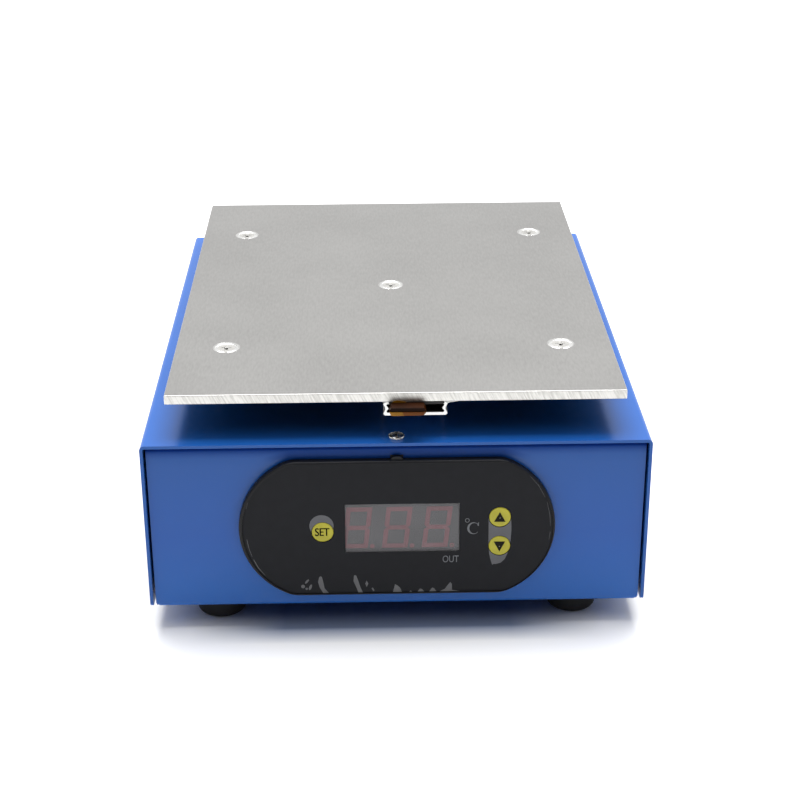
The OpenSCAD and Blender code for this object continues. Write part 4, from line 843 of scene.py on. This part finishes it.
def controllerKeys():
    front = boxOf("set_key")[0].y + 0.03
    word = lettering("SET", setAt + keyPrint["low"], setAt + keyPrint["high"], front, keyPrint["bold"])
    key("set_key", setAt, [(word, "blackPrint")])
    for side, at in (("up", upAt), ("down", downAt)):
        key(f"{side}_key", at, [(printAt(keyPrint[side], at, front), "blackPrint"),
                                (printAt(ellipse(*keyPrint["fleck"], 12), at, front - 0.02), "paleHighlight")])


digits = {"first": -12.4, "pitch": 12.4, "middleZ": 0.08, "halfWide": 3.3, "halfTall": 6.4, "stroke": 1.45,
          "gap": 0.05, "slant": 0.115, "dot": 0.75, "dotX": 4.6, "dotZ": -6.5, "spark": 0.3}


def ledDigits():
    # Three leaning figures of seven bars each, with a dot after each
    d = digits
    front, half = boxOf("led_segments")[0].y, d["stroke"] / 2
    w, h, marks = d["halfWide"], d["halfTall"], []
    bars = [((-w, z), (w, z)) for z in (-h, 0, h)] + [((x, z), (x, z + h)) for x in (-w, w) for z in (-h, 0)]
    for number in range(3):
        at = (d["first"] + number * d["pitch"], d["middleZ"])
        for low, high in bars:
            a, b = Vector(low), Vector(high)
            along = (b - a).normalized()
            across = Vector((-along.y, along.x)) * half
            outline = []
            # At the figure's corners a bar runs out to its outer side, and elsewhere its end is a point
            for end, back, sides in ((low, along, (1, -1)), (high, -along, (-1, 1))):
                start = Vector(end) + back * d["gap"]
                for side in sides:
                    out = abs(end[1]) == h and (across * side).dot(a + b) > 0
                    outline.append(start + across * side - back * half * (1 if out else -1))
                outline.insert(len(outline) - 1, start)
            marks.append(printAt([(p.x + d["slant"] * p.y, p.y) for p in outline], at, front + 0.04))
        marks.append(printAt(ellipse(d["dotX"], d["dotZ"], d["dot"], d["dot"], 16), at, front + 0.04))
    standIn(joined(*marks), "led_segments", "displaySegment", 0)
    # A pale spot painted on the last dot as its highlight
    spark = printAt(ellipse(d["dotX"], d["dotZ"], d["spark"], d["spark"], 12),
                    (d["first"] + 2 * d["pitch"], d["middleZ"]), front + 0.03)
    finished(spark, "dotHighlight", "paleHighlight", smooth=0)


# Places where pale lines are painted on the black bezel as highlights along its rounded rim: rows of X, Z
# with a width
rimHighlightPlaces = [
    ([(-46.6, -3.0), (-46.1, -6.2), (-45.2, -9.2)], 0.2),
    ([(-44.8, -10.2), (-43.4, -13.2), (-41.4, -15.9)], 0.28),
    ([(-46.4, 7.6), (-45.6, 10.6)], 0.12), ([(40.2, 18.2), (43.4, 14.4), (45.6, 10.2)], 0.14),
    ([(46.2, 8.6), (47.2, 4.2), (47.5, 0.2)], 0.12), ([(47.5, -1.8), (47.2, -4.6)], 0.12),
]


# Painted highlights along the bezel's rim
def rimHighlights():
    lines = []
    for places, width in rimHighlightPlaces:
        # A line is widest in the middle
        count = len(places)
        sides = [width / 2 * (0.35 + 0.65 * math.sin(math.pi * (i + 0.5) / count)) for i in range(count)]
        outer = [(x - side, z) for (x, z), side in zip(places, sides)]
        inner = [(x + side, z) for (x, z), side in zip(places, sides)]
        lines.append(printAt(band(outer, inner), depth=0.02))
    finished(joined(*lines), "rimHighlights", "rimHighlightAbs", smooth=0)


# Grey discs of bare film behind the keys; the unit and the output mark beside the display
bare = {"discAt": (-23.4, 1.35), "discR": 3.75, "holeR": 3.5, "t": 0.015}
unit = {"ringAt": (21.69, 2.55), "ring": (0.7, 0.75), "ringHole": (0.5, 0.55), "height": -0.22,
        "outer": (23.6, 1.9, 2.07), "inner": (23.85, 1.5, 1.85)}
outMark = ((14.14, -12.15), (19.15, -9.75))


def through(points):
    # A cutter through the label, from an outline
    return prism([(x, labelZ + z) for x, z in points], labelFront - 1, labelFront + 1)


def bareFilm():
    disc = printAt(ellipse(*bare["discAt"], bare["discR"], bare["discR"], 48), depth=bare["t"])
    blob = printAt([(28.26, 3.2), (28.32, -1.11), (28.33, -5.07), (28.62, -9.06), (29.04, -11.26),
                    (29.65, -13.28), (30.12, -12.96), (30.67, -13.04), (32.26, -12.59), (33.51, -11.33),
                    (34.27, -9.52), (34.62, -8.08), (35.19, -5.19), (35.42, -1.22), (35.29, 2.6),
                    (34.4, 4.6), (31.8, 5.6), (29.2, 4.6)], depth=bare["t"])
    for shape, places in ((disc, (setAt,)), (blob, (upAt, downAt))):
        for at in places:
            cutBy(shape, through(ellipse(at.x, at.y, bare["holeR"], bare["holeR"], 48)))
    finished(joined(disc, blob), "bareFilm", "bareFilm", smooth=0)


def labelPrints():
    degree = cutBy(printAt(ellipse(*unit["ringAt"], *unit["ring"], 32)),
                   through(ellipse(*unit["ringAt"], *unit["ringHole"], 32)))
    sweep = [math.radians(a) for a in range(38, 323, 9)]
    letter = band(*([(x + across * math.cos(a), unit["height"] + tall * math.sin(a)) for a in sweep]
                    for x, across, tall in (unit["outer"], unit["inner"])))
    serif = [(24.95, 0.6), (25.25, 0.6), (25.3, 1.8), (25.1, 1.8), (24.8, 1.2)]
    marks = [degree, printAt(letter), printAt(serif), lettering("OUT", *outMark, labelFront)]
    finished(joined(*marks), "labelPrints", "greyPrint", smooth=0)


def widenedLabel(gap):
    # The label with its left, right, bottom and top sides moved outwards; points round its openings stay
    label = softened("membrane_label", 0)
    left, right, bottom, top = (reach + gap for reach in labelFit["wide"])
    for point in label.data.vertices:
        x = (point.co.x - labelLow.x) / (labelHigh.x - labelLow.x)
        z = (point.co.z - labelLow.z) / (labelHigh.z - labelLow.z)
        if not (0.2 < x < 0.88 and 0.15 < z < 0.85):
            point.co.x += x * right - (1 - x) * left
            point.co.z += z * top - (1 - z) * bottom
    return label


def controllerFace():
    film, opening = widenedLabel(0), widenedLabel(labelFit["gap"])
    for point in opening.data.vertices:
        point.co.y = labelHigh.y if point.co.y > (labelLow.y + labelHigh.y) / 2 else labelLow.y - 1
    bezel = cutBy(softened("controller_bezel", 0), opening)
    # The release tab on the upper edge is narrow at the top
    top = boxOf("controller_bezel")[1].z
    for side in (-1, 1):
        corner = [(side * 0.8, top + 0.1), (side * 1.5, top - 0.35), (side * 2.1, top - 1.2),
                  (side * 2.1, top + 0.1)]
        cutBy(bezel, prism(corner, labelFront - 1, labelFront + 2.05))
    standIn(rounded(bezel, labelFit["edge"]), "controller_bezel", "moldedAbs", 40)
    standIn(rounded(film, 0.06), "membrane_label", "printedFilm")
    remade("display_window", 0.06)
    remade("led_display", 0.2)
    ledDigits()
    bareFilm()
    labelPrints()


# Scraps of protective film that stayed along the lower edge of the label
tornFilm = [
    ellipse(-28.4, -18.35, 0.35, 0.95, 12, -38), ellipse(-29.67, -20.1, 0.6, 0.65, 12),
    ellipse(-28.56, -20.96, 0.4, 0.45, 10), ellipse(-27.37, -20.42, 0.42, 1.1, 12, -20),
    [(-24.57, -16.93), (-24.93, -18.6), (-24.49, -20.47), (-23.4, -22.7), (-21.61, -22.7), (-22.94, -20.88),
     (-23.31, -18.63), (-23.69, -16.76), (-24.14, -16.52)],
    [(-13.65, -16.48), (-13.81, -18.42), (-12.82, -21.05), (-12.35, -22.7), (-10.89, -22.7), (-11.67, -20.7),
     (-12.29, -18.44), (-12.91, -16.49), (-13.33, -16.26)],
    [(-10.13, -19.42), (-9.72, -20.66), (-9.16, -19.43), (-9.7, -18.3)],
    [(-8.2, -21.13), (-7.63, -22.19), (-7.24, -21.9), (-7.78, -20.84)],
    [(-1.45, -22.7), (1.4, -22.7), (0.77, -21.06), (0.02, -20.23), (-0.79, -19.76)],
    [(3.65, -22.7), (4.62, -22.7), (4.14, -22.1)],
    [(6.29, -22.7), (8.41, -22.7), (7.67, -21.63), (7.03, -21.47)],
    [(9.93, -22.7), (12.27, -22.7), (11.53, -21.44), (10.89, -21.17)],
    [(13.14, -22.7), (19.58, -22.7), (17.16, -22.1), (17.08, -19.94), (16.56, -19.3), (15.86, -20.22),
     (14.91, -21.68)],
]

controllerKeys()
controllerFace()
lowest = labelLow.z - labelZ - labelFit["wide"][2] + 0.05
scraps = [printAt([(x, max(z, lowest)) for x, z in outline], depth=0.03) for outline in tornFilm]
finished(joined(*scraps), "tornFilm", "tornFilm", smooth=0)
rimHighlights()
print("controller made")


# Feet, and what is behind and inside: each node with its slot and the width of its rounded edges, which is
# 0 for wires, as they are round already

remade("rubber_feet", 0.4, segments=3)
riding = {"switch_rocker": "rocker", "fuse_drawer": "fuse_drawer", "set_button": "set_key",
          "up_button": "up_key", "down_button": "down_key"}
for node, slot, width in (
        ("power_inlet", "black_plastic", 0.5), ("switch_body", "black_plastic", 0.3),
        ("switch_rocker", "red_rocker", 0.35), ("fuse_drawer", "black_plastic", 0.35),
        ("inlet_pins", "tinned_brass", 0.25), ("inlet_nuts", "zinc_steel", 0.25),
        ("switch_terminals", "tinned_brass", 0.1), ("foot_nuts", "zinc_steel", 0.3),
        ("earth_nut", "brass", 0.3), ("board_standoffs", "brass", 0.25),
        ("set_button", "black_plastic", 0.2), ("up_button", "black_plastic", 0.2),
        ("down_button", "black_plastic", 0.2), ("tact_switches", "black_plastic", 0.2),
        ("display_board", "circuit_board", 0.1), ("power_board", "circuit_board", 0.1),
        ("transformer_core", "laminated_steel", 0.25), ("transformer_coil", "coil_tape", 1.2),
        ("relay", "relay_blue", 0.5), ("terminal_block", "terminal_green", 0.3),
        ("heater_leads", "silicone_sleeve", 0), ("probe_lead", "white_sleeve", 0),
        ("mains_wires", "brown_pvc", 0), ("earth_wire", "earth_pvc", 0), ("display_cable", "grey_pvc", 0),
        ("board_parts", "black_plastic", 0.12)):
    remade(node, width, riding.get(node, "housing"), smooth=30 if width else 50)

# Places of the screws behind and inside: distances between them, and where their heads bear
behind = {"inletX": (20, 60), "inletY": 97.71, "boardSpan": (88, 54), "footSpan": (113.5, 166),
          "displayX": 33.9, "displayZ": 12, "displayY": -89.59}
boardLow, boardHigh = boxOf("power_board")
boardMiddle, boardTop = ((boardLow + boardHigh) / 2).xy, boardHigh.z
rearZ = sum(corner.z for corner in boxOf("switch_rocker")) / 2
footTop = boxOf("rubber_feet")[1].z
for screw, places, node, turn in (
        ("inlet", [(x, behind["inletY"], rearZ) for x in behind["inletX"]], "inlet_screws", -90),
        ("board", corners(*behind["boardSpan"], boardTop, boardMiddle), "board_screws", 0),
        ("standoff", corners(*behind["boardSpan"], footTop, boardMiddle), "standoff_screws", 180),
        ("foot", corners(*behind["footSpan"], footTop / 2, (0, midY)), "foot_screws", 180),
        ("display", [(x, behind["displayY"], labelZ + z) for x in (-behind["displayX"], behind["displayX"])
                     for z in (-behind["displayZ"], behind["displayZ"])], "display_board_screws", -90)):
    finish = "nickelPlatedScrew" if screw == "inlet" else "zincPlatedSteel"
    setOut(panHead(*panScrews[screw], finish), places, node, turn)


def rockerMarks():
    # A bar and a ring, raised on the two faces of the rocker and moving with it
    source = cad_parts["switch_rocker"].data
    marks = []
    for sign in (1, -1):
        sides = [f for f in source.polygons if f.normal.y > 0.6 and (f.center.z / mm - rearZ) * sign > 1.5]
        total = sum(f.area for f in sides)
        centre = sum((f.center * f.area for f in sides), Vector()) / total / mm
        normal = sum((f.normal * f.area for f in sides), Vector()).normalized()
        if sign > 0:
            mark = prism([(-0.4, -2.2), (0.4, -2.2), (0.4, 2.2), (-0.4, 2.2)], -0.25, 0.12)
        else:
            mark = prism(ellipse(0, 0, 2, 2, 32), -0.25, 0.12)
            cutBy(mark, prism(ellipse(0, 0, 1.3, 1.3, 32), -1, 1))
        turn = Vector((0, 1, 0)).rotation_difference(normal).to_matrix().to_4x4()
        mark.data.transform(Matrix.Translation(centre) @ turn)
        marks.append(mark)
    finished(joined(*marks), "rockerMarks", "whitePrint", smooth=0, body="rocker")


def fuseLink():
    # Glass tube with nickel caps and the wire inside, lying across the drawer
    low, high = boxOf("fuse_link")
    middle, r, half = (low + high) / 2, (high.z - low.z) / 2, (high.x - low.x) / 2
    end = half - 1
    tube = lathed([(r - 0.75, -end), (r - 0.25, -end), (r - 0.25, end), (r - 0.75, end), (r - 0.75, -end)])
    cap = lathed([(0, 0), (r - 0.3, 0), (r, 0.3), (r, 4.8), (r - 0.1, 5), (r - 0.25, 5), (r - 0.25, 1),
                  (0, 1)])
    wire = lathed([(0, -end), (0.12, -end), (0.12, end), (0, end)], 12)
    far = copied(cap, (0, 0, half), math.pi, "X")
    cap.data.transform(Matrix.Translation((0, 0, -half)))
    whole = joined(coated(tube, "fuseGlass"), coated(cap, "zincPlatedSteel"), coated(far, "zincPlatedSteel"),
                   coated(wire, "soldered"))
    whole.data.transform(Matrix.Translation(middle) @ Matrix.Rotation(math.radians(90), 4, "Y"))
    standIn(whole, "fuse_link", body="fuse_drawer")


def capacitorCan():
    low, high = boxOf("capacitor")
    r, tall = (high.x - low.x) / 2, high.z - low.z
    can = lathed([(0, 0), (r - 0.3, 0), (r, 0.25), (r, 0.85), (r - 0.5, 1.3), (r - 0.3, 1.9),
                  (r - 0.3, tall - 0.6), (r - 0.9, tall - 0.05), (r - 1.4, tall - 0.05),
                  (r - 1.5, tall - 0.2), (0, tall - 0.2)], 48)
    for turn in (0, 90):
        groove = block((-2.6, -0.2, tall - 0.4), (2.6, 0.2, tall + 1))
        groove.data.transform(Matrix.Rotation(math.radians(turn), 4, "Z"))
        cutBy(can, groove)
    # The top is bare with a pressed cross, and a pale stripe runs down the sleeve
    coated(can, "capacitorSleeve", "turnedAluminium", "whitePrint")
    for side in can.data.polygons:
        x, y, z = side.center
        if z > tall - 0.5 and math.hypot(x, y) < r - 1.2:
            side.material_index = 1
        elif 2 < z < tall - 1 and math.degrees(math.atan2(y, x)) < -120:
            side.material_index = 2
    can.data.transform(Matrix.Translation(footOf(low, high)))
    standIn(can, "capacitor")


def earthStud():
    low, high = boxOf("earth_stud")
    r, tall = (high.x - low.x) / 2, high.z - low.z
    stud = lathed([(0, 0), (r - 0.1, 0), (r, -0.1), (r, -0.8), (2, -0.8)] + threaded(2, -0.85, -tall), 32)
    stud.data.transform(Matrix.Translation(footOf(low, high)) @ Matrix.Rotation(math.pi, 4, "X"))
    standIn(stud, "earth_stud", "zincPlatedSteel")


terminals = {"ways": 9, "pitch": 5.08, "height": 6, "turn": 20}


def terminalScrews():
    # Slotted screws in the ways of the terminal block, each turned a little further than the last
    screw = lathed([(0, 1.6), (1.5, 1.6), (1.75, 1.35), (1.75, 0.05), (0, 0.05)], 24)
    cutBy(screw, block((-2, -0.3, 0.9), (2, 0.3, 3)))
    coated(screw, "zincPlatedSteel")
    foot, half = footOf(*boxOf("terminal_block")), (terminals["ways"] - 1) / 2
    screws = [copied(screw, foot + Vector(((i - half) * terminals["pitch"], 0, terminals["height"])),
                     math.radians(terminals["turn"] * i)) for i in range(terminals["ways"])]
    bpy.data.objects.remove(screw, do_unlink=True)
    finished(joined(*screws), "terminalScrews")


# Tinned tracks on the power board: X and Y of two corners from the middle of the board
tracks = [((-46, -11), (-44, -2)), ((-38, -11), (-36, 6)), ((-36, 4), (-20, 6)), ((-30, -11), (-28.5, -4)),
          ((-30, -5.5), (-12, -4)), ((4, -22), (6, -6)), ((6, -8), (20, -6)), ((38, -8), (40, 14)),
          ((24, 12), (38, 14)), ((-14, 20), (8, 21.5)), ((-44, 22), (-30, 24))]


def boardTracks():
    pieces = []
    for (x0, y0), (x1, y1) in tracks:
        pieces.append(block((boardMiddle[0] + x0, boardMiddle[1] + y0, boardTop - 0.05),
                            (boardMiddle[0] + x1, boardMiddle[1] + y1, boardTop + 0.04)))
    finished(joined(*pieces), "boardTracks", "soldered", smooth=0)


rockerMarks()
fuseLink()
capacitorCan()
earthStud()
terminalScrews()
boardTracks()
print("rear and inside made")


# Stage: a glossy white sheet on the bench, a white room that is dim low down in front, and a softbox
# overhead. The sheet's painted shade, a darker strip under the machine's front, fades between its pairs of
# distances in millimetres.
studio = {"sheet": "#F8F8F8", "sheetShade": "#8F9BB4", "sheetRoughness": 0.07, "sheetIor": 1.6,
          "front": (-108, -99), "behind": (-20, -60), "beside": (66, 36), "room": 1.0, "roomDim": 0.04,
          "back": 0.8, "sides": 0.6, "dimBelow": 0.3, "brightAbove": 0.65, "mirrorFront": 0.6,
          "mirrorFrom": 0.1, "mirrorTo": 0.3, "boxSize": 1.2, "boxHeight": 1.3, "boxBack": 0.3,
          "boxPower": 33.0}


def whiteSheet():
    nothingSelected()
    bpy.ops.mesh.primitive_plane_add(size=8, location=(0, 0, 0))
    sheet = bpy.context.object
    sheet.name = "whiteSheet"
    material, tree, shader, place = startMaterial("whiteSheet", studio["sheet"], studio["sheetRoughness"],
                                                  IOR=studio["sheetIor"])
    # Painted shade: the sheet's colour is darker below the front of the machine
    axes = addNode(tree, "SeparateXYZ", {0: place})
    aside = addNode(tree, "Math", {0: axes.outputs["X"]}, operation="ABSOLUTE")
    near = addNode(tree, "MapRange", {"Value": axes.outputs["Y"], **between(*studio["front"])})
    far = addNode(tree, "MapRange", {"Value": axes.outputs["Y"], **between(*studio["behind"])})
    within = addNode(tree, "MapRange", {"Value": aside, **between(*studio["beside"])})
    strip = addNode(tree, "Math", {0: near, 1: far}, operation="MULTIPLY")
    shade = addNode(tree, "Math", {0: strip, 1: within}, operation="MULTIPLY")
    tint = addNode(tree, "ValToRGB", {"Fac": shade}, stops=[(0, studio["sheet"]), (1, studio["sheetShade"])])
    connected(tree, shader, {"Base Color": tint})
    sheet.data.materials.append(material)


def whiteRoom():
    # The room's brightness rises with height and towards the back; the camera itself sees plain white
    world = bpy.data.worlds.new("whiteRoom")
    world.use_nodes = True
    tree = world.node_tree
    toward = addNode(tree, "TexCoord").outputs["Generated"]
    lift = addNode(tree, "VectorMath", {0: toward, 1: (0, studio["back"], 1)}, operation="DOT_PRODUCT")
    sides = addNode(tree, "VectorMath", {0: toward}, operation="ABSOLUTE")
    aside = addNode(tree, "VectorMath", {0: sides, 1: (studio["sides"], 0, 0)}, operation="DOT_PRODUCT")
    total = addNode(tree, "Math", {0: lift.outputs["Value"], 1: aside.outputs["Value"]}, operation="ADD")
    light = addNode(tree, "MapRange", {"Value": total, "To Min": studio["roomDim"], "To Max": studio["room"],
                                       "From Min": studio["dimBelow"], "From Max": studio["brightAbove"]})
    # Mirror-like surfaces also see the room high up in front, which lights nothing else
    path = addNode(tree, "LightPath")
    height = addNode(tree, "SeparateXYZ", {0: toward})
    upper = addNode(tree, "MapRange", {"Value": height.outputs["Z"], "To Max": studio["mirrorFront"],
                                       "From Min": studio["mirrorFrom"], "From Max": studio["mirrorTo"]})
    mirrored = addNode(tree, "Math", {0: path.outputs["Is Glossy Ray"], 1: upper}, operation="MULTIPLY")
    strongest = addNode(tree, "Math", {0: mirrored, 1: light}, operation="MAXIMUM")
    either = addNode(tree, "Math", {0: path.outputs["Is Camera Ray"], 1: strongest}, operation="MAXIMUM")
    connected(tree, tree.nodes["Background"], {"Color": grey(1), "Strength": either})
    bpy.context.scene.world = world


def softbox():
    bpy.ops.object.light_add(type="AREA", location=(0, studio["boxBack"], studio["boxHeight"]))
    lamp = bpy.context.object
    lamp.data.shape, lamp.data.size, lamp.data.energy = "SQUARE", studio["boxSize"], studio["boxPower"]
    lamp.rotation_euler = (-math.atan2(studio["boxBack"], studio["boxHeight"]), 0, 0)


whiteSheet()
whiteRoom()
softbox()
bpy.context.scene.view_settings.view_transform = "Standard"
print("stage lit")
